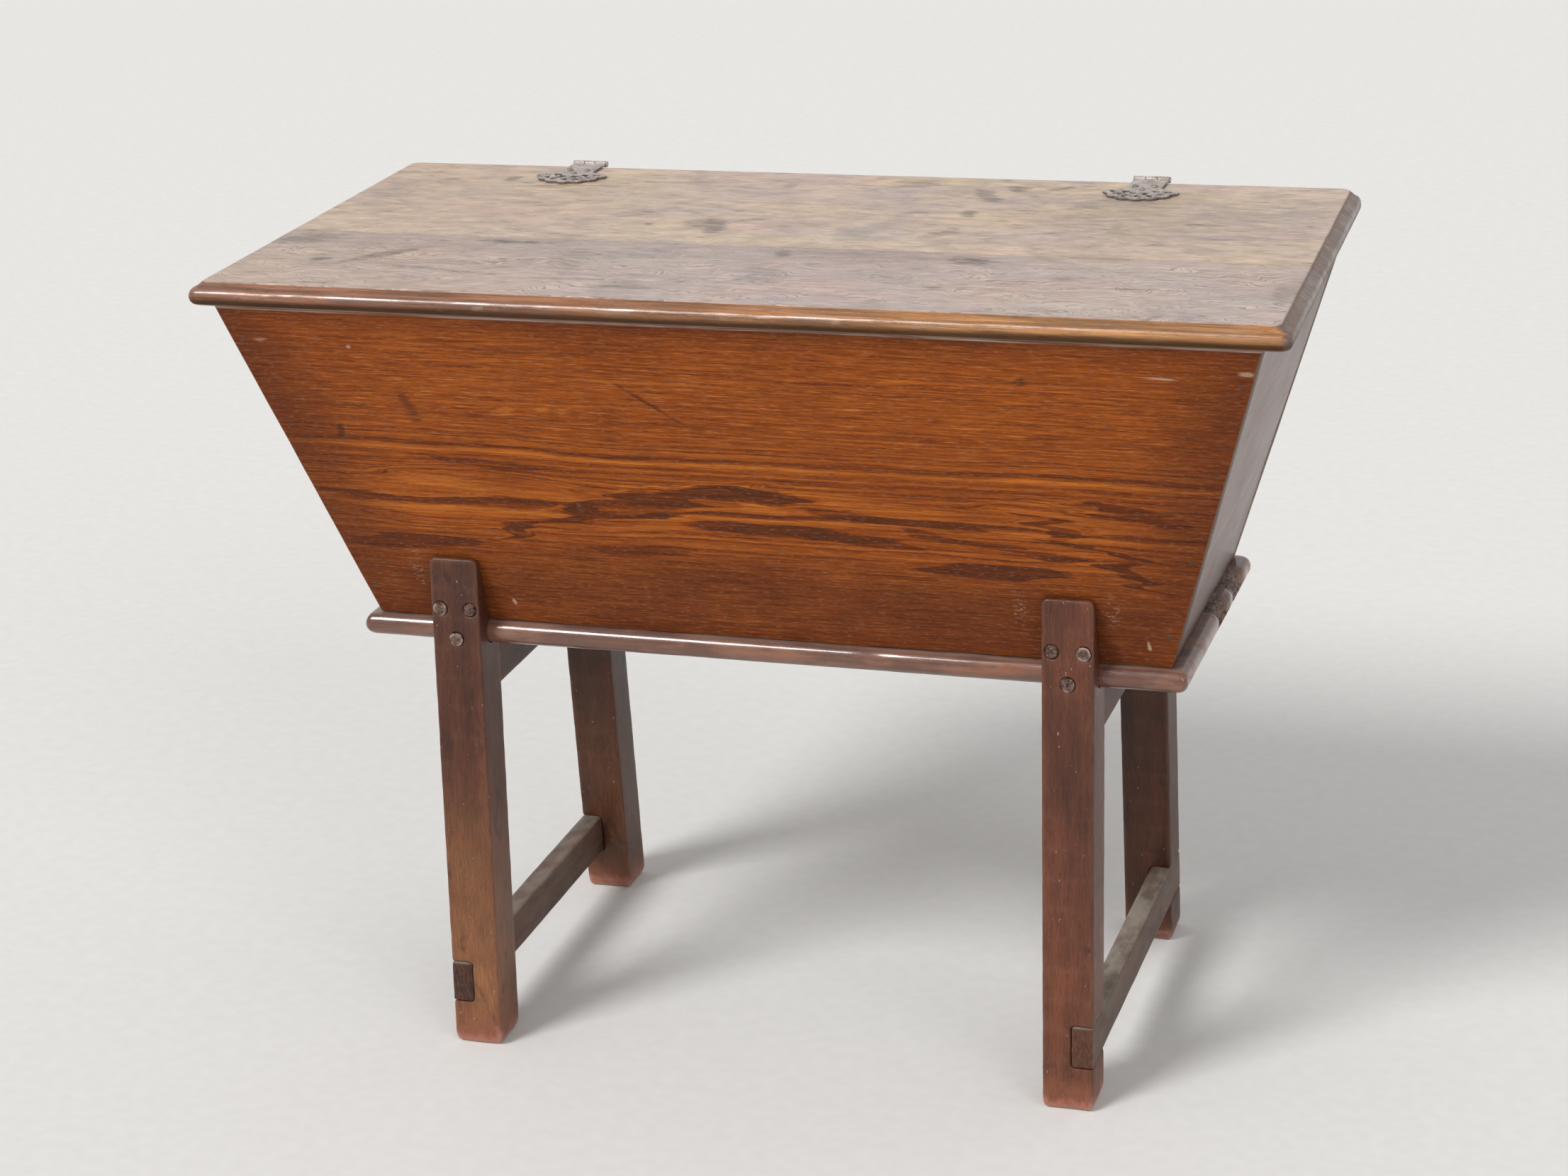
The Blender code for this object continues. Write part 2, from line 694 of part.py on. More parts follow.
def build_stand(materials):
    pieces = {}
    leg = leg_mesh(materials["leg"])
    stretcher = make_mesh("stretcher", stretcher_block(0, 0, BOARD_WEAR), materials["stretcher"])
    lap = make_mesh("lap", stretcher_block(SEAT_GAP, LEG_WIDTH, 0))
    bearer = make_mesh("bearer", bearer_block(), materials["bearer"])
    tenons = make_mesh("tenons", tenon_block(0))
    mortises = make_mesh("mortises", tenon_block(SEAT_GAP))
    laps, sockets = {}, {}
    for name, side in SIDES.items():
        let_in = side * (LEG_OUT + LEG_WIDTH / 2 - STRETCHER_THICKNESS / 2)
        low = shift(let_in, 0, STRETCHER_RISE)
        high = shift(side * LEG_OUT, 0, BEARER_BOTTOM)
        place(f"stretcher_{name}", stretcher, low)
        laps[name] = place_helper(f"lap_{name}", lap, low)
        sockets[name] = place_helper(f"mortises_{name}", mortises, high)
        piece = place(f"bearer_{name}", bearer, high)
        combine(piece, "UNION", place_helper(f"tenons_{name}", tenons, high))
    for name, (angle, side) in LEGS.items():
        frame = turn(angle, "Z") @ shift(side * LEG_OUT, -FOOT_OUT, 0)
        piece = place(f"leg_{name}", leg, frame)
        end = name.split("_")[1]
        combine(piece, "DIFFERENCE", laps[end])
        combine(piece, "DIFFERENCE", sockets[end])
        pieces[piece.name] = piece
    return pieces


# Pegs


def peg_mesh(name, length, material):
    """Peg with a softened head just proud of the leg's face at the origin."""
    soft = PEG_RADIUS / 6
    rings = [
        (PEG_RADIUS - soft, -length),
        (PEG_RADIUS, -length + 2 * soft),
        (PEG_RADIUS, PEG_PROUD - soft / 2),
        (PEG_RADIUS - soft, PEG_PROUD),
    ]
    return make_mesh(name, turned(rings, PEG_SIDES), material, 35)


def build_pegs(materials, pieces):
    """Three pegs a leg: two into the side board above, one into the bottom board's edge."""
    upper = BIN_FLOOR + UPPER_PEG_RISE
    lower = BASE_HEIGHT + BASE_THICKNESS / 2
    lengths = {
        upper: leg_face(upper) - half_depth(upper) + UPPER_PEG_BITE,
        lower: leg_face(lower) - BASE_HALF_DEPTH + LOWER_PEG_BITE,
    }
    pegs, cutters = {}, {}
    for z, length in lengths.items():
        pegs[z] = peg_mesh("peg", length, materials["peg"])
        cutters[z] = hole_mesh("peg_hole", PEG_RADIUS + SEAT_GAP, length, PEG_SIDES)
    holes = bmesh.new()
    for name, (angle, side) in LEGS.items():
        spots = ((-PEG_SPREAD / 2, upper), (PEG_SPREAD / 2, upper), (0, lower))
        for number, (across, z) in enumerate(spots, 1):
            spot = shift(side * LEG_OUT + across, -leg_face(z), z)
            frame = turn(angle, "Z") @ spot @ turn(math.pi / 2, "X")
            place(f"peg_{name}_{number}", pegs[z], frame)
            add_copies(holes, cutters[z], [frame])
    cutter = place_helper("peg_holes", make_mesh("peg_holes", holes))
    for name, piece in pieces.items():
        if name.startswith("leg_") or name in ("front_board", "back_board", "bottom_board"):
            combine(piece, "DIFFERENCE", cutter)


def make_materials():
    return {
        "board": make_material("elm_side_boards", (0.25, 0.068, 0.02), 0.38),
        "end": make_material("elm_end_boards", (0.22, 0.07, 0.028), 0.38),
        "bottom": make_material("elm_bottom_board", (0.17, 0.062, 0.04), 0.35),
        "front_plank": make_material("elm_lid_front_plank", (0.34, 0.23, 0.165), 0.42),
        "back_plank": make_material("elm_lid_back_plank", (0.38, 0.25, 0.155), 0.42),
        "batten": make_material("elm_battens", (0.30, 0.18, 0.10), 0.6),
        "leg": make_material("elm_legs", (0.15, 0.068, 0.043), 0.45),
        "stretcher": make_material("elm_stretchers", (0.17, 0.105, 0.072), 0.55),
        "bearer": make_material("elm_bearers", (0.10, 0.055, 0.037), 0.55),
        "peg": make_material("oak_pegs", (0.14, 0.09, 0.075), 0.5),
        "iron": make_material("wrought_iron", (0.16, 0.135, 0.12), 0.5, 0.7),
        "pin": make_material("iron_pins", (0.14, 0.12, 0.11), 0.45, 0.7),
        "screw": make_material("iron_screws", (0.18, 0.15, 0.13), 0.45, 0.8),
    }


def build():
    clear_scene()
    materials = make_materials()
    pivot = bpy.data.objects.new("lid_pivot", None)
    pivot.location = (0, PIN_BACK, PIN_HEIGHT)
    bpy.context.scene.collection.objects.link(pivot)
    pieces = build_bin(materials)
    pieces |= build_lid(materials, pivot)
    pieces |= build_hinges(materials, pivot)
    pieces |= build_stand(materials)
    build_screws(materials, pivot, pieces)
    build_pegs(materials, pieces)


build()
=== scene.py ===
"""Looks of the dough bin on its stand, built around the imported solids. Metres, +Z up, front towards -Y."""

import math

import bmesh
import bpy
import numpy as np
from mathutils import Matrix, Vector, noise


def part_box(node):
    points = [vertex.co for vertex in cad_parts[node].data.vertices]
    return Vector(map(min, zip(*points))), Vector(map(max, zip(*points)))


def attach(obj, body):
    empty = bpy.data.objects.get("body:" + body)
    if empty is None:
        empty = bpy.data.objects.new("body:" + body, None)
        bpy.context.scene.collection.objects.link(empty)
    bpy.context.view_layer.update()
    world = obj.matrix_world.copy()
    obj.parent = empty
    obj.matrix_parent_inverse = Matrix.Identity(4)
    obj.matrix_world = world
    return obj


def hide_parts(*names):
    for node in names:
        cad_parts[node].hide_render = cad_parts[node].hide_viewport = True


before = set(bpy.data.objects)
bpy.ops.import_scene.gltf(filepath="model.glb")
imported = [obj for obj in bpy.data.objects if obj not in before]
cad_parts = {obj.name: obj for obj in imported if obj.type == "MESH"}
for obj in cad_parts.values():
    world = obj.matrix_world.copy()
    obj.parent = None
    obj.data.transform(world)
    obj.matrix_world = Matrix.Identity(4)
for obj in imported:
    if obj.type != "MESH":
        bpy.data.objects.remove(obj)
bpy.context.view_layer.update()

BIN, LID = "bin_and_stand", "lid"
MM = 0.001

# Sizes of the solids
BIN_LOW, BIN_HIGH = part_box("front_board")
BASE_LOW, BASE_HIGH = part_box("bottom_board")
LID_LOW, LID_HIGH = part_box("lid_front_plank")
REAR_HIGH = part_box("lid_back_plank")[1]
BIN_FLOOR, BIN_RIM = BIN_LOW.z, BIN_HIGH.z
END_SPLAY, SIDE_SPLAY = math.radians(16.4), math.radians(15.9)
END_SLOPE, SIDE_SLOPE = math.tan(END_SPLAY), math.tan(SIDE_SPLAY)
BOARD_THICKNESS = 0.019
SIDE_RUN = BOARD_THICKNESS / math.cos(SIDE_SPLAY)
END_RUN = BOARD_THICKNESS / math.cos(END_SPLAY)
SEAT_GAP = 0.0003
LID_END_SKEW = 0.016
LID_SEAM = LID_HIGH.y
LID_TOP = LID_HIGH.z

# Sizes that only this script uses
BASE_NOSE, BASE_CORNER = 0.01, 0.006
LID_NOSE, LID_BEVEL, LID_DROP = 0.005, 0.007, 0.0055
LID_CORNER, LID_ARRIS = 0.009, 0.0008
NOSE_STEPS, ARC_STEPS = 10, 3
WOOD_VOXEL, IRON_VOXEL = 0.0019, 0.0006
FOOT_ROUNDING = 0.013
PEG_RADIUS = 0.0065
SCREW_HEAD, SCREW_NECK, SCREW_SLOT = 0.0034, 0.0016, (0.009, 0.0008, 0.0016)
NAIL_HEIGHTS = (0.482, 0.566, 0.66, 0.752)
# Worm damage on the bottom board's right edge: (middle, half length) along it, reach inwards, depth of the bites
WORM_PATCHES = ((0.022, 0.03), (0.098, 0.034))
WORM_REACH, WORM_BITE = 0.022, Vector((-0.011, 0.0, -0.006))


def half_length(z):
    return BIN_HIGH.x - (BIN_RIM - z) * END_SLOPE


def half_depth(z):
    return -BIN_LOW.y - (BIN_RIM - z) * SIDE_SLOPE


# Meshes


def ripple(point, size, seed):
    """Smooth noise between -1 and 1 with features of the given size."""
    return noise.noise(Vector(point) / size + Vector((seed * 7.3, seed * 3.1, seed * 5.7)))


def clamp(value, low=0.0):
    return min(1.0, max(low, value))


def linked(name, data):
    """New object of the data, in the scene."""
    thing = bpy.data.objects.new(name, data)
    bpy.context.scene.collection.objects.link(thing)
    return thing


def mesh_of(name, bm):
    """New mesh of a net, which is used up."""
    mesh = bpy.data.meshes.new(name)
    bm.to_mesh(mesh)
    bm.free()
    return mesh


def finish_piece(name, bm, material, body, nodes=(), sharp=38):
    bmesh.ops.recalc_face_normals(bm, faces=bm.faces)
    show_mesh(name, mesh_of(name, bm), material, body, nodes, sharp)


def show_mesh(name, mesh, material, body, nodes=(), sharp=38):
    mesh.materials.clear()
    mesh.materials.append(material)
    mesh.shade_smooth()
    mesh.set_sharp_from_angle(angle=math.radians(sharp))
    piece = linked(name, mesh)
    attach(piece, body)
    if nodes:
        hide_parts(*nodes)


def skin(bm, rows, closed):
    """Faces between each row of vertices and the next."""
    for lower, upper in zip(rows, rows[1:]):
        for n in range(len(lower) - (0 if closed else 1)):
            m = (n + 1) % len(lower)
            bm.faces.new((lower[n], lower[m], upper[m], upper[n]))


def weather(bm, amount, size, seed):
    """Sinks the surface unevenly by up to the amount, as hand planing and use leave it."""
    bm.normal_update()
    moves = []
    for vert in bm.verts:
        depth = 0.5 + 0.5 * ripple(vert.co, size, seed)
        depth += 0.3 * ripple(vert.co, size / 4, seed + 1)
        moves.append(vert.normal * (-amount * max(0.0, depth)))
    for vert, move in zip(bm.verts, moves):
        vert.co += move


def dent(bm, spots):
    """Presses round hollows, each (centre, radius, depth), into the surface."""
    bm.normal_update()
    for centre, radius, depth in spots:
        for vert in bm.verts:
            near = (vert.co - Vector(centre)).length / radius
            if near < 2.5:
                vert.co -= vert.normal * (depth * math.exp(-near * near))


def stations(length, fillet, step):
    """Distances along an edge, close together near both ends."""
    near = [fillet * part for part in (0.0, 0.3, 0.65, 1.0, 2.0)]
    count = max(1, round((length - 4 * fillet) / step))
    inner = [2 * fillet + (length - 4 * fillet) * n / count for n in range(1, count)]
    return near + inner + [length - distance for distance in reversed(near)]


def worn_board(corners, fillet, step, seed, chips=()):
    """Board between eight corners, corners[up][in][along], its edges rubbed to an uneven rounding."""
    box = [[[Vector(p) for p in row] for row in layer] for layer in corners]
    sizes = [
        sum((box[i][j][1] - box[i][j][0]).length for i in (0, 1) for j in (0, 1)) / 4,
        sum((box[i][1][j] - box[i][0][j]).length for i in (0, 1) for j in (0, 1)) / 4,
        sum((box[1][i][j] - box[0][i][j]).length for i in (0, 1) for j in (0, 1)) / 4,
    ]
    grids = [stations(size, fillet, step) for size in sizes]
    bm = bmesh.new()
    wear = bm.verts.layers.float.new("wear")
    made = {}

    def mapped(p):
        a, b, c = (p[n] / sizes[n] for n in range(3))
        rows = [[box[i][j][0].lerp(box[i][j][1], a) for j in (0, 1)] for i in (0, 1)]
        return rows[0][0].lerp(rows[0][1], b).lerp(rows[1][0].lerp(rows[1][1], b), c)

    def vert(*key):
        if key in made:
            return made[key]
        p = Vector([grids[n][key[n]] for n in range(3)])
        place = mapped(p)
        rounding = fillet * clamp(0.55 + 0.45 * ripple(place, 0.035, seed), 0.3)
        for centre, radius, extra in chips:
            near = (place - Vector(centre)).length / radius
            rounding += extra * math.exp(-near * near)
        core = Vector([min(max(p[n], rounding), sizes[n] - rounding) for n in range(3)])
        off = p - core
        reach = sorted(abs(part) for part in off)
        made[key] = bm.verts.new(mapped(core + off * (rounding / max(off.length, 1e-9))))
        made[key][wear] = min(1.0, reach[1] / rounding)
        return made[key]

    counts = [len(grid) - 1 for grid in grids]
    for axis in range(3):
        first, second = [n for n in range(3) if n != axis]
        for end in (0, counts[axis]):
            for i in range(counts[first]):
                for j in range(counts[second]):
                    ring = []
                    for di, dj in ((0, 0), (1, 0), (1, 1), (0, 1)):
                        key = [0, 0, 0]
                        key[axis], key[first], key[second] = end, i + di, j + dj
                        ring.append(vert(*key))
                    bm.faces.new(ring)
    weather(bm, 0.00035, 0.07, seed)
    return bm


def outline(rect, radii, counts):
    """Four lists of points round a rectangle, each from the middle of one rounded corner to the next."""
    left, front, right, back = rect
    corners = ((left, front, 1, 1), (right, front, -1, 1), (right, back, -1, -1), (left, back, 1, -1))
    centres = [(x + r * sx, y + r * sy) for (x, y, sx, sy), r in zip(corners, radii)]

    def on_arc(number, degrees):
        x, y = centres[number]
        angle = math.radians(degrees)
        return Vector((x + radii[number] * math.cos(angle), y + radii[number] * math.sin(angle)))

    sides = []
    for number in range(4):
        after = (number + 1) % 4
        start = 225 + 90 * number
        side = [on_arc(number, start + 45 * n / ARC_STEPS) for n in range(ARC_STEPS)]
        begin, end = on_arc(number, start + 45), on_arc(after, start + 45)
        count = counts[number % 2]
        side += [begin.lerp(end, n / count) for n in range(count)]
        side += [on_arc(after, start + 45 + 45 * n / ARC_STEPS) for n in range(ARC_STEPS)]
        sides.append(side)
    return sides


def nosed_plank(rect, radii, worked, profile, counts):
    """Flat plank whose worked sides follow a profile of (inset, plain inset, height, wear) rows, bottom to top."""
    bm = bmesh.new()
    wear = bm.verts.layers.float.new("wear")
    loops = []
    for inset, plain, height, rubbed in profile:
        drawn = [inset if side else plain for side in worked]
        inner = (rect[0] + drawn[0], rect[1] + drawn[1], rect[2] - drawn[2], rect[3] - drawn[3])
        loop = []
        for side in outline(inner, radii, counts):
            loop.append([bm.verts.new((p.x, p.y, height)) for p in side])
            for vert in loop[-1]:
                vert[wear] = rubbed
        loops.append(loop)
    skin(bm, [sum(loop, []) for loop in loops], True)
    for loop in (loops[0], loops[-1]):
        fill_patch(bm, loop)
    return bm


def fill_patch(bm, loop):
    """Even net of faces inside a loop of four sides."""
    front = loop[0] + loop[1][:1]
    right = loop[1] + loop[2][:1]
    back = (loop[2] + loop[3][:1])[::-1]
    left = (loop[3] + loop[0][:1])[::-1]
    across = [(v.co.x - front[0].co.x) / (front[-1].co.x - front[0].co.x) for v in front]
    along = [(v.co.y - left[0].co.y) / (left[-1].co.y - left[0].co.y) for v in left]
    net = [front]
    for j in range(1, len(left) - 1):
        row = [left[j]]
        for i in range(1, len(front) - 1):
            u, v = across[i], along[j]
            place = front[i].co * (1 - v) + back[i].co * v + left[j].co * (1 - u) + right[j].co * u
            low = front[0].co * (1 - u) + front[-1].co * u
            high = back[0].co * (1 - u) + back[-1].co * u
            row.append(bm.verts.new(place - low * (1 - v) - high * v))
        net.append(row + [right[j]])
    net.append(back)
    skin(bm, net, False)


def applied(mesh, modifiers):
    """The mesh after a run of (kind, settings) modifiers."""
    helper = linked("helper", mesh)
    for kind, settings in modifiers:
        modifier = helper.modifiers.new(kind.lower(), kind)
        for key, value in settings.items():
            setattr(modifier, key, value)
    graph = bpy.context.evaluated_depsgraph_get()
    result = bpy.data.meshes.new_from_object(helper.evaluated_get(graph))
    bpy.data.objects.remove(helper)
    return result


def rubbed_copy(node, voxel, passes, seed, keep, least=0.3, swing=0.00025):
    """The solid as an even net of faces, its edges rubbed down unevenly and its faces a little wavy."""
    net = applied(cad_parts[node].data.copy(), [
        ("WELD", {"merge_threshold": 1e-5}),
        ("REMESH", {"mode": "VOXEL", "voxel_size": voxel}),
    ])
    bm = bmesh.new()
    bm.from_mesh(net)
    wear = bm.verts.layers.float.new("wear")
    before = [vert.co.copy() for vert in bm.verts]
    for _ in range(passes):
        bmesh.ops.smooth_vert(bm, verts=bm.verts, factor=0.5, use_axis_x=True, use_axis_y=True, use_axis_z=True)
    for vert, start in zip(bm.verts, before):
        rub = clamp(0.6 + 0.7 * ripple(start, 0.03, seed), least)
        vert[wear] = min(1.0, (start - vert.co).length / (0.35 * voxel))
        vert.co = start.lerp(vert.co, rub)
    if swing:
        weather(bm, swing, 0.05, seed)
    return applied(mesh_of(node, bm), [("DECIMATE", {"ratio": keep})])


def long_frame(node):
    """Frame at the head of a pin-like solid, Z pointing out of the head, and the solid's length."""
    points = np.array([v.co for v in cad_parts[node].data.vertices], float)
    middle = (points.max(0) + points.min(0)) / 2
    axis = np.linalg.svd(points - points.mean(0), full_matrices=False)[2][0]
    along = (points - middle) @ axis
    across = np.linalg.norm(points - middle - np.outer(along, axis), axis=1)
    half = along > (along.max() + along.min()) / 2
    if across[half].max() < across[~half].max() - 1e-6:
        axis, along = -axis, -along
    length = along.max() - along.min()
    z = Vector(axis)
    x = z.orthogonal().normalized() if abs(z.x) > 0.9 else Vector((1, 0, 0))
    y = z.cross(x).normalized()
    place = Matrix((y.cross(z), y, z)).transposed().to_4x4()
    place.translation = Vector(middle + axis * along.max())
    return place, length


def lathe(rings, sides, shape=lambda angle, row: 1.0):
    """Body about Z through (radius, height, wear) rings, from its tip up to its head."""
    bm = bmesh.new()
    wear = bm.verts.layers.float.new("wear")
    loops = []
    for row, (radius, height, rubbed) in enumerate(rings):
        loop = []
        for n in range(sides):
            angle = 2 * math.pi * n / sides
            reach = radius * shape(angle, row)
            loop.append(bm.verts.new((reach * math.cos(angle), reach * math.sin(angle), height)))
            loop[-1][wear] = rubbed
        loops.append(loop)
    skin(bm, loops, True)
    for loop in (loops[0], loops[-1]):
        tip = bm.verts.new(sum((v.co for v in loop), Vector()) / sides)
        for n in range(sides):
            bm.faces.new((loop[n], loop[(n + 1) % sides], tip))
    return bm


# Materials


class Paint:
    """One procedural material on a Principled shader, whose colour is laid on coat by coat."""

    def __init__(self, name, **plain):
        self.material = bpy.data.materials.new(name)
        self.material.use_nodes = True
        self.tree = self.material.node_tree
        self.shader = self.tree.nodes["Principled BSDF"]
        for socket, value in plain.items():
            self.shader.inputs[socket.replace("_", " ")].default_value = value
        self.place = self.new("TexCoord", (), "Object")

    def new(self, kind, inputs=(), output=0, **settings):
        """An output of a new node, whose inputs are fed in order or, from a dictionary, by key."""
        node = self.tree.nodes.new("ShaderNode" + kind)
        for key, value in settings.items():
            setattr(node, key, value)
        for key, value in inputs.items() if isinstance(inputs, dict) else enumerate(inputs):
            self.feed(node.inputs[key], value)
        return node.outputs[output]

    def feed(self, socket, value):
        if isinstance(value, bpy.types.NodeSocket):
            self.tree.links.new(value, socket)
        else:
            socket.default_value = (*value, 1.0) if socket.type == "RGBA" else value

    def math(self, operation, *values):
        return self.new("Math", values, operation=operation)

    def plus(self, a, b):
        return self.math("ADD", a, b)

    def times(self, a, b):
        return self.math("MULTIPLY", a, b)

    def madd(self, value, factor, base):
        """The base, plus the value times the factor."""
        return self.math("MULTIPLY_ADD", value, factor, base)

    def absolute(self, value):
        return self.math("ABSOLUTE", value)

    def axis(self, direction, offset=0.0):
        along = self.new("VectorMath", (self.place, direction), "Value", operation="DOT_PRODUCT")
        return self.plus(along, offset)

    def join(self, x, y, z=0.0):
        return self.new("CombineXYZ", (x, y, z))

    def noise(self, place, scale, shift=(0.0, 0.0, 0.0), detail=2.0, roughness=0.5, distortion=0.0):
        moved = self.new("VectorMath", (place, scale, shift), operation="MULTIPLY_ADD")
        values = {"Vector": moved, "Scale": 1.0, "Detail": detail, "Roughness": roughness, "Distortion": distortion}
        return self.new("TexNoise", values, noise_dimensions="3D")

    def line_noise(self, level, scale, detail, roughness):
        """Noise that changes with one value only."""
        values = {"W": self.times(level, scale), "Scale": 1.0, "Detail": detail, "Roughness": roughness}
        return self.new("TexNoise", values, noise_dimensions="1D")

    def step(self, value, low, high, start=0.0, end=1.0):
        """Smooth change from start to end, while the value goes from low to high."""
        return self.new("MapRange", (value, low, high, start, end), interpolation_type="SMOOTHSTEP")

    def ramp(self, value, stops, colours):
        result = self.new("ValToRGB", (value,))
        entries = result.node.color_ramp.elements
        while len(entries) < len(stops):
            entries.new(0.5)
        for entry, position, colour in zip(entries, stops, colours):
            entry.position = position
            entry.color = (*colour, 1.0)
        return result

    def mix(self, amount, a, b):
        return self.new("Mix", {0: amount, 6: a, 7: b}, 2, data_type="RGBA")

    def over(self, amount, colour):
        """Lays another colour over the paint."""
        self.colour = self.mix(amount, self.colour, colour)

    def wash(self, value, low, high, strength, colour):
        """Lays a colour over the paint, up to the strength, while the value goes from low to high."""
        self.over(self.step(value, low, high, 0.0, strength), colour)

    def rubbed(self, value, low, high, start, end, colour):
        """Lays a colour over worn edges, by a share that follows the value."""
        self.over(self.times(self.layer("wear"), self.step(value, low, high, start, end)), colour)

    def tint(self, value):
        """The paint times a brightness."""
        self.colour = self.new("VectorMath", {0: self.colour, "Scale": value}, operation="SCALE")

    def layer(self, name):
        """Value that the mesh carries at its points."""
        return self.new("Attribute", (), "Fac", attribute_name=name)

    def facing(self, axis):
        """Part of the normal along an axis of the piece itself, so that it holds when the lid turns."""
        return self.new("SeparateXYZ", (self.new("TexCoord", (), "Normal"),), axis)

    def distance(self, plane, u, v, long, wide, angle):
        """Distance from a mark's middle, 1 on the ellipse that bounds it; the mark is in millimetres."""
        values = {"Vector": plane, "Location": (u * MM, v * MM, 0.0), "Rotation": (0.0, 0.0, math.radians(angle)),
                  "Scale": (long * MM, wide * MM, 1.0)}
        moved = self.new("Mapping", values, vector_type="TEXTURE")
        return self.new("VectorMath", (moved,), "Value", operation="LENGTH")

    def spots(self, plane, marks, ragged=0.5, grain=(60.0, 200.0, 1.0)):
        """Mask of blurred marks."""
        rough = self.noise(plane, grain, detail=3.0)
        total = None
        for *mark, strength in marks:
            edge = self.madd(rough, ragged * 2, self.distance(plane, *mark))
            mask = self.step(edge, 0.3 + ragged, 1.0 + ragged, strength, 0.0)
            total = mask if total is None else self.math("MAXIMUM", total, mask)
        return total

    def done(self, roughness, height, relief):
        bump = self.new("Bump", {"Strength": 1.0, "Distance": relief, "Height": height})
        for key, value in {"Base Color": self.colour, "Roughness": roughness, "Normal": bump}.items():
            self.feed(self.shader.inputs[key], value)
        return self.material


class Grain:
    """Fibres, pores and slow tone changes of one board, in its own (along, across, through) axes."""

    def __init__(self, p, u, v, w, seed):
        self.p, self.u, self.v, self.w = p, u, v, w
        self.plane = p.join(u, v)
        self.space = p.join(u, v, w)
        self.shift = (seed, seed * 2.0, seed * 3.0)
        self.fibre = self.fleck(20.0, 700.0, 3.0)
        self.pores = self.fleck(60.0, 1500.0, 2.0)
        self.cloud = self.fleck(5.0, 9.0, 3.0)

    def fleck(self, along, across, detail, distortion=0.0):
        return self.p.noise(self.space, (along, across, across), self.shift, detail, 0.62, distortion)

    def lines(self, wander, pitch):
        """Growth lines along the board, which wander sideways."""
        level = self.p.madd(self.fleck(2.2, 6.0, 2.0), wander, self.v)
        level = self.p.madd(self.fleck(11.0, 130.0, 3.0), 0.005, level)
        return self.p.line_noise(level, 1.0 / pitch, 2.0, 0.6)

    def relief(self):
        return self.p.madd(self.p.step(self.pores, 0.56, 0.72), -0.5, self.fibre)

    def streak(self, low=0.76, high=1.22, dark=(0.03, 0.01, 0.006), pricks=0.5):
        """Streaks the paint with fibres and pricks it with dark pores."""
        self.p.tint(self.p.step(self.fibre, 0.28, 0.72, low, high))
        self.p.wash(self.pores, 0.58, 0.7, pricks, dark)


BARE = ((0.205, 0.12, 0.068), (0.32, 0.205, 0.122), (0.42, 0.29, 0.18))


def scrubbed(p, g, inside, rough):
    """Lays bare wood, pale from flour and scraping, on inner faces; gives the roughness."""
    polished = p.colour
    p.colour = p.ramp(g.lines(0.07, 0.0075), (0.25, 0.5, 0.75), BARE)
    p.wash(g.cloud, 0.44, 0.68, 0.55, (0.185, 0.11, 0.064))
    p.wash(g.fleck(9.0, 60.0, 4.0), 0.54, 0.7, 0.55, (0.5, 0.4, 0.29))
    g.streak(0.86, 1.12, (0.11, 0.062, 0.036), 0.4)
    p.colour = p.mix(inside, polished, p.colour)
    return p.madd(inside, 0.28, rough)


FLAME = ((0.095, 0.024, 0.0068), (0.15, 0.032, 0.006), (0.24, 0.053, 0.006),
         (0.325, 0.077, 0.0085), (0.45, 0.128, 0.016))

# Eyes in the side boards' grain: along, up, half length and half width in mm, degrees, spread, lightness
EYES = (
    (-334, 602, 60, 13, 2, 0.85, 0.07), (-290, 590, 120, 30, 3, 0.6, 0.02), (-70, 598, 100, 15, 10, 0.6, -0.3),
    (-205, 566, 50, 8, 28, 0.4, -0.3), (-150, 588, 50, 10, 24, 0.4, -0.22), (30, 611, 35, 10, -6, 0.4, -0.26),
    (-11, 598.5, 40, 4.5, 0, 0.2, 0.28), (135, 607, 85, 7.5, -4, 0.5, 0.16), (-100, 566, 70, 6, 6, 0.2, 0.12),
    (45, 572, 130, 6, -2, 0.3, -0.32), (130, 568, 50, 7, -3, 0.3, -0.2), (155, 592, 95, 5, -4, 0.2, -0.3),
    (-100, 541, 55, 6, 2, 0.3, -0.22), (318, 588, 45, 7, -28, 0.4, -0.32), (372, 552, 42, 8, -35, 0.4, -0.32),
    (300, 607, 40, 14, -12, 0.6, 0.08), (365, 613, 38, 9, -14, 0.5, -0.32), (415, 603, 45, 8, -12, 0.5, 0.08),
    (230, 542, 80, 9, 1, 0.5, -0.3), (-350, 535, 80, 8, 2, 0.5, -0.28), (240, 572, 100, 4, -8, 0.2, -0.24),
    (-250, 628, 90, 4, -4, 0.2, -0.24),
)

# Marks on the side boards: along, up, half length and half width in mm, degrees, strength
SIDE_STAINS = (
    (-323, 688, 26, 9, 110, 0.5), (-401, 658, 11, 6, 70, 0.65), (-76, 704, 52, 3, -33, 0.6),
    (284, 746, 11, 6, 10, 0.55), (310, 690, 30, 4, 0, 0.35), (-200, 755, 100, 6, 0, 0.3),
)
SIDE_CHIPS = (
    (410, 756, 20, 2, -2, 0.8), (488, 764, 10, 3, -3, 0.7), (-464, 754, 9, 2, 5, 0.45), (-372, 750, 3, 2.5, 0, 0.7),
    (383, 471, 2.5, 7, 10, 0.85), (-255, 471, 2.5, 6, 20, 0.8),
)
SIDE_SCUFFS = (
    (-352, 505, 9, 30, 6, 1.0), (262, 503, 9, 30, -4, 1.0), (350, 505, 12, 22, 0, 0.8),
)
SIDE_GLINTS = (
    (-222, 690, 13, 5, 0, 0.55), (-184, 692, 9, 4, 0, 0.5), (-60, 726, 140, 2.5, 0, 0.4),
)


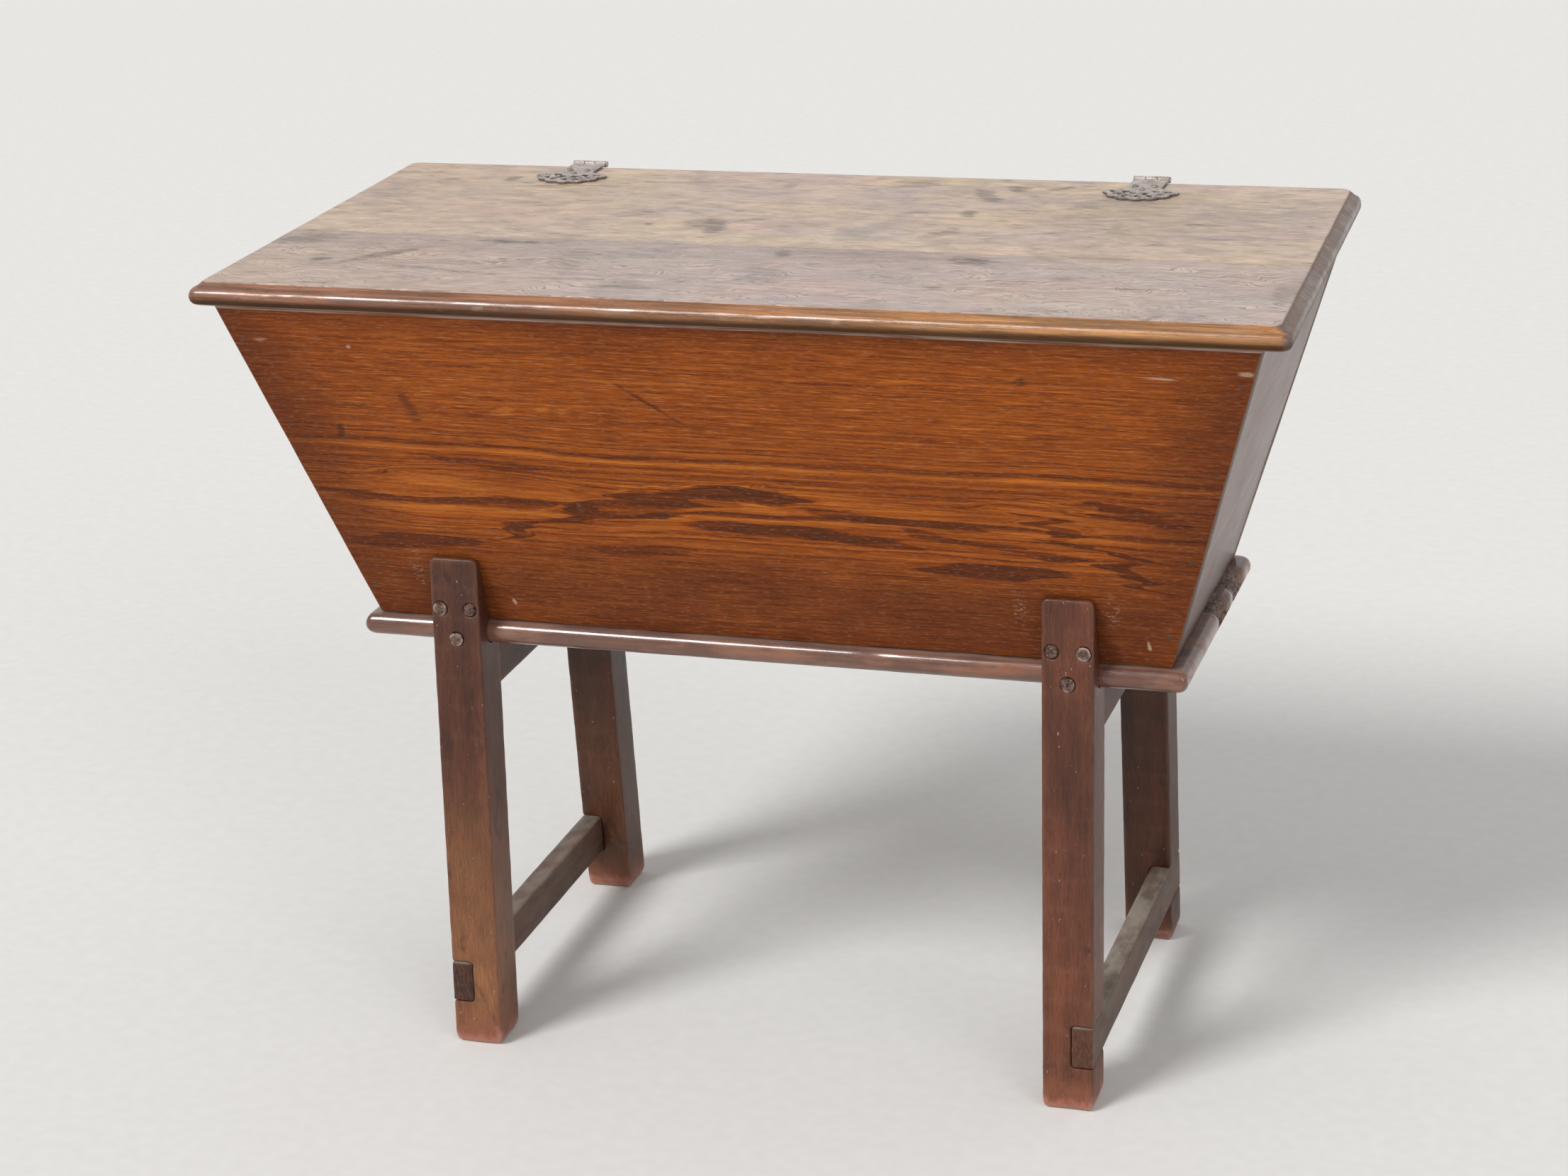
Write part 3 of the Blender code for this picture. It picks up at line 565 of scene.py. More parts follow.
def side_board_paint(name, facing):
    """Front board, or the back one when facing is -1: straight grain above, a flamed figure below."""
    p = Paint(name, Specular_IOR_Level=0.11)
    u, v = p.axis((facing, 0, 0)), p.axis((0, 0, 1))
    g = Grain(p, u, v, p.axis((0, facing, SIDE_SLOPE), half_depth(0.0)), 0.0 if facing > 0 else 5.0)
    level = p.madd(p.noise(g.plane, (2.6, 7.0, 1.0), (0.0, 0.0, 3.0)), 0.022, v)
    level = p.madd(g.fleck(11.0, 130.0, 3.0), 0.0055, level)
    bent = p.join(p.madd(g.fleck(3.0, 75.0, 1.5), 0.17, p.plus(u, -0.085)),
                  p.madd(g.fleck(14.0, 40.0, 2.0), 0.01, p.plus(v, -0.005)))
    light = 0.0
    for *mark, spread, lightness in EYES:
        away = p.distance(bent, *mark)
        level = p.madd(p.step(away, 1.35, 0.7, 0.0, spread), p.math("SUBTRACT", mark[1] * MM, v), level)
        light = p.plus(light, p.step(away, 1.1, 0.88, 0.0, lightness))
    flamed = p.times(p.step(v, 0.52, 0.575), p.step(v, 0.7, 0.63))
    lines = p.plus(p.line_noise(level, 150.0, 2.0, 0.6), -0.5)
    fine = p.plus(p.line_noise(level, 430.0, 2.0, 0.6), -0.5)
    streaks = p.plus(g.fleck(7.0, 300.0, 3.0), -0.5)
    tone = p.madd(lines, p.madd(flamed, 1.0, 0.35), p.plus(light, p.madd(flamed, 0.03, 0.56)))
    tone = p.madd(fine, 0.4, tone)
    tone = p.madd(streaks, 0.5, tone)
    p.colour = p.ramp(tone, (0.24, 0.38, 0.47, 0.64, 0.95), FLAME)
    threads = p.line_noise(level, 240.0, 1.0, 0.5)
    threads = p.times(p.step(threads, 0.4, 0.3), p.times(p.step(v, 0.6, 0.625, 0.0, 0.7), p.step(v, 0.7, 0.66)))
    p.over(threads, (0.085, 0.02, 0.006))
    p.wash(g.cloud, 0.45, 0.68, 0.4, (0.19, 0.038, 0.0055))
    gilt = g.fleck(38.0, 520.0, 2.5)
    plain = p.times(p.step(flamed, 0.0, 1.0, 1.0, 0.4), p.step(light, -0.14, -0.02, 0.1, 1.0))
    p.over(p.times(p.step(gilt, 0.54, 0.7, 0.0, 0.62), plain), (0.47, 0.17, 0.036))
    p.over(p.times(p.step(gilt, 0.46, 0.31, 0.0, 0.62), plain), (0.12, 0.028, 0.009))
    # Painted shade: darker towards the bottom and the ends, and in a band along the top under the lid's nose.
    low = p.step(v, 0.575, 0.5, 0.0, 0.72)
    ends = p.step(p.plus(p.absolute(u), p.times(v, -END_SLOPE)), 0.15, 0.272, 0.0, 0.72)
    shade = p.math("MAXIMUM", p.math("MAXIMUM", low, ends), p.step(v, 0.75, 0.79, 0.0, 0.6))
    p.over(p.times(shade, p.step(g.cloud, 0.25, 0.6, 0.6, 1.0)), (0.088, 0.02, 0.0068))
    g.streak(0.7, 1.28, (0.045, 0.012, 0.006), 0.5)
    p.over(p.spots(g.plane, SIDE_STAINS, 0.8), (0.04, 0.013, 0.007))
    p.over(p.spots(g.plane, SIDE_CHIPS, 0.5), (0.44, 0.3, 0.2))
    ticks = p.noise(g.space, (170.0, 420.0, 170.0), detail=3.0)
    scuffed = p.times(p.spots(g.plane, SIDE_SCUFFS, 0.6), p.step(ticks, 0.54, 0.66, 0.0, 0.6))
    p.over(scuffed, (0.42, 0.3, 0.22))
    # Pale flecks: dust in the pores, together with painted sparkle of light off the fibres.
    p.wash(p.noise(g.space, (130.0, 520.0, 520.0)), 0.52, 0.74, 0.22, (0.36, 0.2, 0.14))
    # Painted highlight: a pale line along the board's top arris, where light catches it just below the lid's nose.
    rim_highlight = p.times(p.step(v, 0.785, 0.7864), p.step(streaks, -0.1, 0.12, 0.15, 0.9))
    p.over(rim_highlight, (0.5, 0.38, 0.34))
    p.over(p.spots(g.plane, SIDE_GLINTS, 0.9), (0.5, 0.15, 0.022))
    cut = p.step(p.absolute(p.facing("X")), 0.6, 0.9, 0.0, 0.85)
    pits = p.noise(g.space, (60.0, 130.0, 500.0), detail=3.0)
    p.over(cut, p.ramp(pits, (0.35, 0.65), ((0.03, 0.011, 0.006), (0.105, 0.04, 0.02))))
    rough = p.madd(g.fibre, 0.1, p.step(g.cloud, 0.2, 0.8, 0.3, 0.42))
    rough = scrubbed(p, g, p.step(g.w, BOARD_THICKNESS - 0.0025, BOARD_THICKNESS), rough)
    p.rubbed(g.cloud, 0.35, 0.6, 0.25, 0.8, (0.24, 0.13, 0.085))
    return p.done(rough, g.relief(), 0.00022)


RED = ((0.05, 0.0135, 0.006), (0.105, 0.0265, 0.008), (0.17, 0.046, 0.012))


def end_board_paint(name, facing):
    """Left end board for facing -1, right one for 1."""
    p = Paint(name, Specular_IOR_Level=0.55)
    v = p.axis((0, 0, 1))
    g = Grain(p, p.axis((0, facing, 0)), v, p.axis((-facing, 0, END_SLOPE), half_length(0.0)), 11.0 + facing)
    p.colour = p.ramp(g.lines(0.1, 0.0085), (0.2, 0.5, 0.8), RED)
    low = p.times(p.step(v, 0.56, 0.45, 0.0, 0.6), p.step(g.cloud, 0.25, 0.6, 0.55, 1.0))
    p.over(low, (0.05, 0.016, 0.009))
    g.streak()
    rough = p.madd(g.fibre, 0.06, p.step(g.cloud, 0.2, 0.8, 0.24, 0.34))
    rough = scrubbed(p, g, p.step(g.w, BOARD_THICKNESS - 0.0025, BOARD_THICKNESS), rough)
    p.rubbed(g.cloud, 0.35, 0.6, 0.25, 0.8, (0.2, 0.12, 0.085))
    return p.done(rough, g.relief(), 0.00018)


DARK = ((0.036, 0.012, 0.0068), (0.082, 0.0245, 0.0118), (0.14, 0.041, 0.018))


def bottom_board_paint():
    """Dark polish, rubbed on the nose, dusty on the ledge and crumbled where worms ate."""
    p = Paint("bottom_board_elm", Specular_IOR_Level=0.3, Coat_IOR=1.65, Coat_Roughness=0.13)
    g = Grain(p, p.axis((1, 0, 0)), p.axis((0, 1, 0)), p.axis((0, 0, 1), -BASE_LOW.z), 21.0)
    p.colour = p.ramp(g.lines(0.08, 0.009), (0.2, 0.5, 0.8), DARK)
    g.streak()
    patch = g.fleck(12.0, 40.0, 4.0)
    p.rubbed(patch, 0.42, 0.62, 0.2, 0.75, p.ramp(g.cloud, (0.35, 0.65), ((0.3, 0.112, 0.052), (0.32, 0.15, 0.09))))
    ledge = p.times(p.step(p.facing("Z"), 0.8, 0.97), p.step(patch, 0.35, 0.6, 0.25, 0.65))
    p.over(ledge, (0.3, 0.2, 0.165))
    eaten = p.layer("eaten")
    crumbs = p.noise(g.space, (380.0, 380.0, 380.0), detail=3.0)
    crumbled = p.ramp(crumbs, (0.3, 0.72), ((0.045, 0.034, 0.028), (0.3, 0.245, 0.2)))
    p.over(p.times(eaten, 0.95), crumbled)
    dry = p.math("MAXIMUM", eaten, p.step(patch, 0.52, 0.66, 0.0, 0.6))
    long, deep = half_length(BIN_FLOOR) - END_RUN, half_depth(BIN_FLOOR) - SIDE_RUN
    inside = p.times(p.step(p.absolute(g.u), long, long - 0.002), p.step(p.absolute(g.v), deep, deep - 0.002))
    inside = p.times(inside, p.step(p.facing("Z"), 0.5, 0.8))
    p.feed(p.shader.inputs["Coat Weight"], p.step(p.plus(dry, inside), 0.0, 1.0, 0.9, 0.0))
    rough = p.madd(eaten, 0.4, p.step(g.cloud, 0.25, 0.75, 0.28, 0.42))
    rough = scrubbed(p, g, inside, rough)
    return p.done(rough, p.madd(p.times(crumbs, eaten), 2.0, g.relief()), 0.0003)


TAN = ((0.49, 0.362, 0.272), (0.595, 0.45, 0.348), (0.665, 0.518, 0.405))
GREY = ((0.48, 0.37, 0.328), (0.565, 0.445, 0.398), (0.63, 0.508, 0.46))


def lid_paint(name, seed, stains):
    """Lid plank: bleached, stained and scratched on top, with a polished nose round its worked sides."""
    p = Paint(name, Coat_Roughness=0.23, Coat_IOR=1.8)
    u, v, w = p.axis((1, 0, 0)), p.axis((0, 1, 0)), p.axis((0, 0, 1), -LID_TOP)
    g = Grain(p, u, v, w, seed)
    blot = p.noise(g.space, (10.0, 15.0, 15.0), detail=5.0, roughness=0.62, distortion=0.9)
    swirl = p.noise(g.space, (3.0, 7.0, 7.0), g.shift, distortion=0.5)
    curl = p.noise(g.space, (13.0, 19.0, 19.0), g.shift, detail=3.0, distortion=0.6)
    lines = p.line_noise(p.madd(swirl, 0.1, v), 95.0, 3.0, 0.65)
    front = p.step(p.madd(blot, 0.05, v), LID_SEAM + 0.03, LID_SEAM + 0.02)
    rear = p.math("SUBTRACT", 1.0, front)
    stops = (0.12, 0.45, 0.85)
    p.colour = p.mix(front, p.ramp(lines, stops, TAN), p.ramp(lines, stops, GREY))
    hues = p.noise(g.space, (5.0, 8.0, 8.0), (7.0, 1.0, 4.0), detail=3.0, roughness=0.6, distortion=0.4)
    blush = p.noise(g.space, (6.0, 9.0, 9.0), (2.0, 5.0, 9.0), detail=4.0, roughness=0.6, distortion=0.6)
    p.over(p.times(p.step(hues, 0.49, 0.6), p.step(front, 0.0, 1.0, 0.8, 0.25)), (0.645, 0.485, 0.32))
    p.wash(hues, 0.48, 0.37, 0.75, (0.47, 0.378, 0.35))
    p.wash(blush, 0.5, 0.62, 0.6, (0.615, 0.435, 0.365))
    p.wash(blush, 0.44, 0.34, 0.6, (0.44, 0.355, 0.315))
    p.wash(p.madd(hues, 0.5, u), 0.2, -0.2, 0.5, (0.595, 0.425, 0.305))
    grey = p.step(blot, 0.54, 0.68, 0.0, 0.42)
    p.over(grey, (0.36, 0.29, 0.265))
    seam = p.absolute(p.plus(v, -LID_SEAM))
    near = p.times(p.step(seam, 0.09, 0.012, 0.0, 0.5), p.step(u, 0.36, 0.02, 0.25, 1.0))
    p.over(p.times(near, rear), (0.66, 0.505, 0.37))
    p.over(p.times(p.times(near, front), p.step(swirl, 0.35, 0.62, 0.4, 1.2)), (0.375, 0.295, 0.278))
    mottle = g.fleck(24.0, 60.0, 5.0, 0.5)
    p.tint(p.step(mottle, 0.34, 0.66, 0.84, 1.15))
    contour = p.line_noise(p.madd(curl, 0.085, v), 130.0, 2.0, 0.6)
    contour = p.absolute(p.plus(contour, -0.5))
    curls = p.times(p.step(contour, 0.055, 0.01), p.step(p.madd(swirl, 0.2, v), 0.09, -0.03, 0.15, 0.7))
    p.over(p.times(curls, p.step(mottle, 0.42, 0.6, 0.05, 1.0)), (0.2, 0.15, 0.128))
    smut = g.fleck(40.0, 120.0, 5.0)
    marked = p.times(p.spots(g.plane, stains, 0.7, (60.0, 110.0, 1.0)), p.step(smut, 0.34, 0.56, 0.35, 1.0))
    p.over(marked, (0.14, 0.11, 0.098))
    dashes = g.fleck(30.0, 300.0, 2.0)
    p.over(p.times(p.step(dashes, 0.61, 0.7), p.step(mottle, 0.4, 0.6, 0.9, 0.25)), (0.17, 0.126, 0.105))
    p.wash(g.fleck(160.0, 190.0, 1.0), 0.77, 0.8, 0.8, (0.68, 0.62, 0.56))
    p.over(p.times(p.step(seam, 0.01, 0.0005), p.step(blot, 0.46, 0.64, 0.0, 0.35)), (0.17, 0.13, 0.11))
    g.streak(0.88, 1.1, (0.2, 0.15, 0.12), 0.5)
    top = p.colour
    gold = p.step(p.madd(g.cloud, 0.5, u), -0.1, 0.55)
    p.colour = p.mix(gold, (0.245, 0.098, 0.047), (0.365, 0.158, 0.048))
    p.tint(p.step(g.fleck(6.0, 160.0, 4.0), 0.33, 0.67, 0.58, 1.38))
    g.streak(0.72, 1.26, (0.05, 0.02, 0.01), 0.7)
    p.rubbed(smut, 0.58, 0.7, 0.0, 0.55, (0.4, 0.25, 0.15))
    # Painted shade: the lower half of the nose darkened, as if in shadow under it.
    p.wash(w, -0.01, -0.0172, 0.88, (0.04, 0.019, 0.011))
    # Painted shade: the right end's nose and bevel darkened.
    p.wash(p.facing("X"), 0.1, 0.4, 0.75, (0.12, 0.085, 0.075))
    p.over(p.step(w, -0.0013, -0.0003), top)
    rough = p.madd(grey, 0.1, p.step(swirl, 0.3, 0.7, 0.32, 0.44))
    rough = scrubbed(p, g, p.step(w, -0.0195, -0.0215), rough)
    polish = p.times(p.step(w, -0.0012, -0.0035), p.step(w, -0.015, -0.01))
    p.feed(p.shader.inputs["Coat Weight"], p.times(polish, p.step(mottle, 0.36, 0.6, 0.75, 0.2)))
    p.feed(p.shader.inputs["Specular IOR Level"], p.step(w, -0.0165, -0.011, 0.1, 0.5))
    height = p.madd(p.step(dashes, 0.64, 0.74), -0.6, g.relief())
    return p.done(rough, height, 0.00022)


def leg_paint(name, seed, glow, shade, dusk, tip):
    """Dark polished leg; shade scales its brightness as painted light and shade, darker on the back legs; glow turns
    its lower half orange, dusk darkens its head, and tip is how red its foot is.
    """
    p = Paint(name, Specular_IOR_Level=0.3, Coat_Weight=0.12, Coat_Roughness=0.2)
    u = p.axis((0, 0, 1))
    g = Grain(p, u, p.axis((1, 0, 0)), p.axis((0, 1, 0)), seed)
    tone = g.fleck(4.0, 26.0, 4.0)
    p.colour = p.ramp(tone, (0.28, 0.5, 0.72), DARK)
    # Painted light and shade: the whole leg brightened or darkened by its shade factor.
    p.tint(shade)
    p.wash(u, 0.36, 0.5, dusk, (0.052, 0.0215, 0.0135))
    orange = p.times(p.step(u, 0.34, 0.08), p.step(g.cloud, 0.3, 0.62, 0.3, 1.0))
    p.over(p.times(orange, glow), (0.35, 0.148, 0.058))
    stain = g.fleck(22.0, 45.0, 5.0, 0.6)
    p.wash(stain, 0.54, 0.7, 0.6, (0.026, 0.0125, 0.0085))
    g.streak(0.8, 1.18, (0.022, 0.01, 0.007), 0.4)
    rub = p.times(p.layer("wear"), p.step(tone, 0.36, 0.62, 0.06, 0.5))
    p.over(p.times(rub, shade), (0.205, 0.095, 0.062))
    scuff = g.fleck(55.0, 75.0, 4.0)
    foot = p.madd(scuff, 0.036, u)
    p.wash(foot, 0.066, 0.03, 0.6 * tip, (0.265, 0.09, 0.048))
    p.wash(foot, 0.036, 0.022, 0.85 * tip, (0.4, 0.15, 0.1))
    p.rubbed(foot, 0.04, 0.024, 0.0, 0.55, (0.52, 0.33, 0.27))
    p.wash(g.fleck(190.0, 260.0, 1.0), 0.755, 0.79, 0.55, (0.42, 0.33, 0.27))
    rough = p.madd(scuff, 0.18, p.step(g.cloud, 0.2, 0.8, 0.24, 0.38))
    return p.done(rough, p.madd(scuff, 0.8, g.relief()), 0.0003)


# End grain of the rails
BLACK_ENDS = ((0.02, 0.0105, 0.0078), (0.06, 0.0235, 0.014), (0.125, 0.052, 0.032))
RED_ENDS = ((0.055, 0.02, 0.012), (0.095, 0.032, 0.017), (0.15, 0.055, 0.03))


def rail_paint(name, seed, palette, dust, ends):
    """Stretchers, bearers and battens; dust lies on what faces up, and ends colours the end grain."""
    p = Paint(name, Specular_IOR_Level=0.28)
    g = Grain(p, p.axis((0, 1, 0)), p.axis((0, 0, 1)), p.axis((1, 0, 0)), seed)
    tone = g.fleck(5.0, 60.0, 4.0)
    p.colour = p.ramp(tone, (0.28, 0.5, 0.72), palette)
    g.streak(0.82, 1.16)
    p.rubbed(g.cloud, 0.3, 0.6, 0.1, 0.5, (0.19, 0.105, 0.07))
    grime = g.fleck(30.0, 60.0, 4.0)
    lying = p.times(p.step(p.facing("Z"), 0.55, 0.95, 0.35, 1.0), p.step(grime, 0.3, 0.65, 0.4, 1.0))
    p.over(p.times(lying, dust), (0.31, 0.27, 0.22))
    cut = p.step(p.absolute(p.facing("Y")), 0.6, 0.9)
    pits = p.noise(g.space, (80.0, 160.0, 420.0), detail=4.0)
    p.over(p.times(cut, 0.9), p.ramp(pits, (0.3, 0.52, 0.75), ends))
    rough = p.madd(lying, 0.2 * dust, p.step(g.cloud, 0.2, 0.8, 0.36, 0.5))
    return p.done(rough, g.relief(), 0.00025)


def peg_paint():
    """Dark end grain, worn pale on the rims."""
    p = Paint("oak_pegs", Specular_IOR_Level=0.22)
    rings = p.noise(p.place, (420.0, 40.0, 420.0), detail=3.0)
    browns = ((0.03, 0.012, 0.008), (0.13, 0.078, 0.064), (0.23, 0.155, 0.128))
    p.colour = p.ramp(rings, (0.3, 0.55, 0.75), browns)
    patch = p.noise(p.place, (130.0, 60.0, 130.0))
    p.rubbed(patch, 0.46, 0.62, 0.0, 0.9, (0.42, 0.31, 0.245))
    return p.done(p.step(rings, 0.3, 0.7, 0.45, 0.65), rings, 0.0004)


def iron_paint(name, base, light):
    """Dull iron, blotched and a little rusty, darker where the mesh's sunk layer says: on the plate's cut edges and
    in the fan's hollows.
    """
    p = Paint(name, Metallic=0.35, Specular_IOR_Level=0.5)
    coarse = p.noise(p.place, (95.0, 95.0, 95.0), detail=4.0)
    fine = p.noise(p.place, (600.0, 600.0, 600.0), detail=3.0)
    p.colour = p.ramp(coarse, (0.3, 0.7), (base, light))
    rust = p.noise(p.place, (160.0, 160.0, 160.0), (4.0, 0.0, 0.0), detail=3.0)
    p.wash(rust, 0.52, 0.7, 0.45, (0.15, 0.1, 0.065))
    p.tint(p.step(fine, 0.3, 0.7, 0.75, 1.25))
    p.over(p.times(p.layer("sunk"), 0.85), (0.03, 0.024, 0.02))
    rough = p.madd(fine, 0.1, p.step(coarse, 0.3, 0.7, 0.4, 0.55))
    return p.done(rough, p.madd(fine, 0.4, coarse), 0.0006)


# Pieces


def side_board_corners(side):
    """Corners of the front board for side -1, of the back board for side 1."""
    layers = []
    for z in (BIN_FLOOR, BIN_RIM):
        long, deep = half_length(z), half_depth(z)
        layers.append([[(x, side * y, z) for x in (-long, long)] for y in (deep, deep - SIDE_RUN)])
    return layers


def end_board_corners(side):
    layers = []
    for z in (BIN_FLOOR, BIN_RIM):
        long, deep = half_length(z), half_depth(z) - SIDE_RUN - SEAT_GAP
        layers.append([[(side * x, y, z) for y in (-deep, deep)] for x in (long, long - END_RUN)])
    return layers


def box_corners(node):
    low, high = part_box(node)
    return [[[(x, y, z) for y in (low.y, high.y)] for x in (low.x, high.x)] for z in (low.z, high.z)]


def dress_bin():
    """Boards with rubbed edges; the front one has lost two chips."""
    chips = (
        ((-half_length(0.64), BIN_LOW.y + 0.03, 0.64), 0.01, 0.002),
        ((half_length(0.77), BIN_LOW.y, 0.77), 0.008, 0.0015),
    )
    for name, side, step, seed, lost in (("front", -1, 0.012, 1, chips), ("back", 1, 0.014, 2, ())):
        board = worn_board(side_board_corners(side), 0.0022, step, seed, lost)
        paint = side_board_paint(f"{name}_board_elm", -side)
        finish_piece(f"{name}_board_worn", board, paint, BIN, [f"{name}_board"])
    for name, side in (("left", -1), ("right", 1)):
        board = worn_board(end_board_corners(side), 0.0018, 0.014, 4 + side)
        paint = end_board_paint(f"{name}_end_board_elm", side)
        finish_piece(f"{name}_end_board_worn", board, paint, BIN, [f"{name}_end_board"])


def half_round(thickness, depth, base):
    """Rows of a half-round nose standing on the height base, most rubbed at its middle."""
    rows = []
    for step in range(NOSE_STEPS + 1):
        angle = math.pi * (step / NOSE_STEPS - 0.5)
        inset = depth * (1 - math.cos(angle))
        rows.append((inset, 0.0, base + thickness / 2 * (1 + math.sin(angle)), math.cos(angle)))
    return rows


def dress_bottom():
    profile = half_round(BASE_HIGH.z - BASE_LOW.z, BASE_NOSE, BASE_LOW.z)
    rect = (BASE_LOW.x, BASE_LOW.y, BASE_HIGH.x, BASE_HIGH.y)
    bm = nosed_plank(rect, [BASE_CORNER] * 4, (1, 1, 1, 1), profile, (84, 84))
    weather(bm, 0.0006, 0.05, 31)
    eaten = bm.verts.layers.float.new("eaten")
    for vert in bm.verts:
        near = 1.0 - abs(vert.co.x - BASE_HIGH.x) / WORM_REACH
        reach = max(1.0 - abs(vert.co.y - middle) / half for middle, half in WORM_PATCHES)
        if near <= 0.0 or reach <= 0.0 or vert.co.z < BASE_LOW.z + 0.006:
            continue
        rough = 0.5 + 0.5 * ripple(vert.co, 0.007, 41) + 0.35 * ripple(vert.co, 0.0035, 43)
        bite = min(1.0, 2.2 * reach) * min(1.0, 2.0 * near) * max(0.0, rough)
        vert[eaten] = min(1.0, 1.6 * bite)
        vert.co += WORM_BITE * bite
    edge = BASE_HIGH.z - 0.004
    dent(bm, (((-0.3, BASE_LOW.y, edge), 0.008, 0.001), ((0.12, BASE_LOW.y, edge), 0.012, 0.0012)))
    finish_piece("bottom_board_worn", bm, bottom_board_paint(), BIN, ["bottom_board"], 60)


def lid_profile():
    """Rows of the lid's half-round nose and of the bevel above it."""
    rows = half_round(LID_TOP - LID_LOW.z - LID_DROP, LID_NOSE, LID_LOW.z)
    for across, plain, down, rubbed in ((0.5, 0.0, 0.5, 0.3), (0.95, 0.0, 0.07, 0.5), (1.08, LID_ARRIS, 0.0, 0.2)):
        rows.append((LID_NOSE + LID_BEVEL * across, plain, LID_TOP - LID_DROP * down, rubbed))
    return rows


def skewed(bm):
    """Lets the lid's right end fall in towards the back."""
    for vert in bm.verts:
        t = clamp((vert.co.x - 0.1) / 0.3)
        run = (vert.co.y - LID_LOW.y) / (REAR_HIGH.y - LID_LOW.y)
        vert.co.x -= LID_END_SKEW * run * t * t * (3 - 2 * t)


# Stains on the lid: along, back, half length and half width in mm, degrees, strength
FRONT_STAINS = (
    (-486, -78, 50, 28, 10, 0.6), (-384, -130, 58, 13, 48, 0.75), (-438, -154, 14, 10, 0, 0.8),
    (-268, -64, 52, 8, 0, 0.85), (-190, -125, 30, 60, 0, 0.32), (10, -72, 11, 20, 15, 0.6),
    (12, -150, 35, 50, 20, 0.3), (193, -73, 32, 18, -10, 0.85), (110, -68, 110, 20, 0, 0.25),
    (378, -153, 56, 3, 0, 0.85), (297, -126, 14, 14, 0, 0.45), (505, -145, 18, 60, 0, 0.4),
    (-95, -212, 40, 8, 0, 0.5), (-405, -239, 22, 4, 0, 0.7), (-300, -176, 70, 6, -12, 0.45),
    (-170, -192, 60, 7, 4, 0.4), (185, -172, 12, 6, 0, 0.55),
)
BACK_STAINS = (
    (-102, 34, 30, 24, 15, 0.7), (-88, 10, 17, 22, 20, 0.7), (-62, 54, 30, 10, 25, 0.5), (-10, 40, 50, 36, 0, 0.18),
    (143, 30, 17, 30, -18, 0.6), (147, 105, 12, 21, 15, 0.65), (96, 104, 18, 6, 0, 0.5), (305, 74, 14, 21, 10, 0.5),
    (383, 89, 30, 6.5, 0, 0.9), (385, 92, 50, 22, 0, 0.28), (255, 155, 34, 34, 0, 0.48),
    (147, 180, 18, 44, 25, 0.6), (62, 226, 36, 20, 0, 0.5), (172, 215, 18, 16, 0, 0.8), (215, 222, 22, 8, 40, 0.65),
    (-376, 193, 12, 18, 0, 0.6), (-300, 172, 80, 6, 8, 0.4), (-161, 24, 6, 6, 0, 0.7), (-190, 200, 90, 6, 6, 0.35),
    (-480, 130, 40, 50, 0, 0.25), (350, 110, 200, 150, 0, 0.26), (355, 7, 14, 5, 0, 0.55),
)
# Knocks on the lid's front nose: along, below the top, radius, depth
KNOCKS = (
    (0.045, 0.006, 0.007, 0.0016), (-0.1, 0.007, 0.006, 0.001),
    (0.17, 0.008, 0.006, 0.0012), (-0.455, 0.007, 0.008, 0.0012),
)


def dress_lid():
    left, right = LID_LOW.x, LID_HIGH.x
    knocks = [((x, LID_LOW.y + 0.002, LID_TOP - down), radius, depth) for x, down, radius, depth in KNOCKS]
    worn, crisp = [LID_CORNER] * 2, [LID_ARRIS] * 2
    planks = (
        ("front", (left, LID_LOW.y, right, LID_SEAM), worn + crisp, (1, 1, 1, 0), 18, 51, knocks, 61.0, FRONT_STAINS),
        ("back", (left, LID_SEAM + SEAT_GAP, right, REAR_HIGH.y), crisp + worn, (1, 0, 1, 0), 24, 53, (), 67.0,
         BACK_STAINS),
    )
    for name, rect, radii, worked, rows, seed, dents, grain, stains in planks:
        node = f"lid_{name}_plank"
        plank = nosed_plank(rect, radii, worked, lid_profile(), (88, rows))
        skewed(plank)
        weather(plank, 0.0005, 0.06, seed)
        dent(plank, dents)
        finish_piece(f"{node}_worn", plank, lid_paint(f"lid_{name}_elm", grain, stains), LID, [node])
    for name, seed in (("left", 71), ("right", 73)):
        node = f"lid_batten_{name}"
        batten = worn_board(box_corners(node), 0.0015, 0.012, seed)
        paint = rail_paint(f"{name}_batten_elm", seed, BARE, 0.0, BLACK_ENDS)
        finish_piece(f"{node}_worn", batten, paint, LID, [node])


def worn_foot(mesh, seed):
    """Rounds the foot's lower edges, as dragging on stone floors leaves them."""
    low = [vert for vert in mesh.vertices if vert.co.z < 0.03]
    sole = [vert.co for vert in low if vert.co.z < 0.002]
    middle = sum(sole, Vector()) / len(sole)
    for vert in low:
        pull = max(0.0, 1 - vert.co.z / FOOT_ROUNDING) ** 2 * (0.11 + 0.05 * ripple(vert.co, 0.02, seed))
        vert.co.x += (middle.x - vert.co.x) * pull
        vert.co.y += (middle.y - vert.co.y) * pull


# What leg_paint calls glow, shade, dusk and tip
LEG_LOOKS = {
    "leg_front_left": (0.72, 1.12, 0.5, 1.0), "leg_front_right": (0.06, 1.48, 0.0, 1.0),
    "leg_back_left": (0.18, 0.66, 0.1, 0.9), "leg_back_right": (0.05, 0.72, 0.0, 0.35),
}
# Slot, seed, dust and end grain
RAIL_LOOKS = {
    "stretcher_left": ("stretchers", 91, 0.6, BLACK_ENDS), "stretcher_right": ("stretchers", 93, 0.9, RED_ENDS),
    "bearer_left": ("bearers", 91, 0.4, BLACK_ENDS), "bearer_right": ("bearers", 93, 0.4, BLACK_ENDS),
}


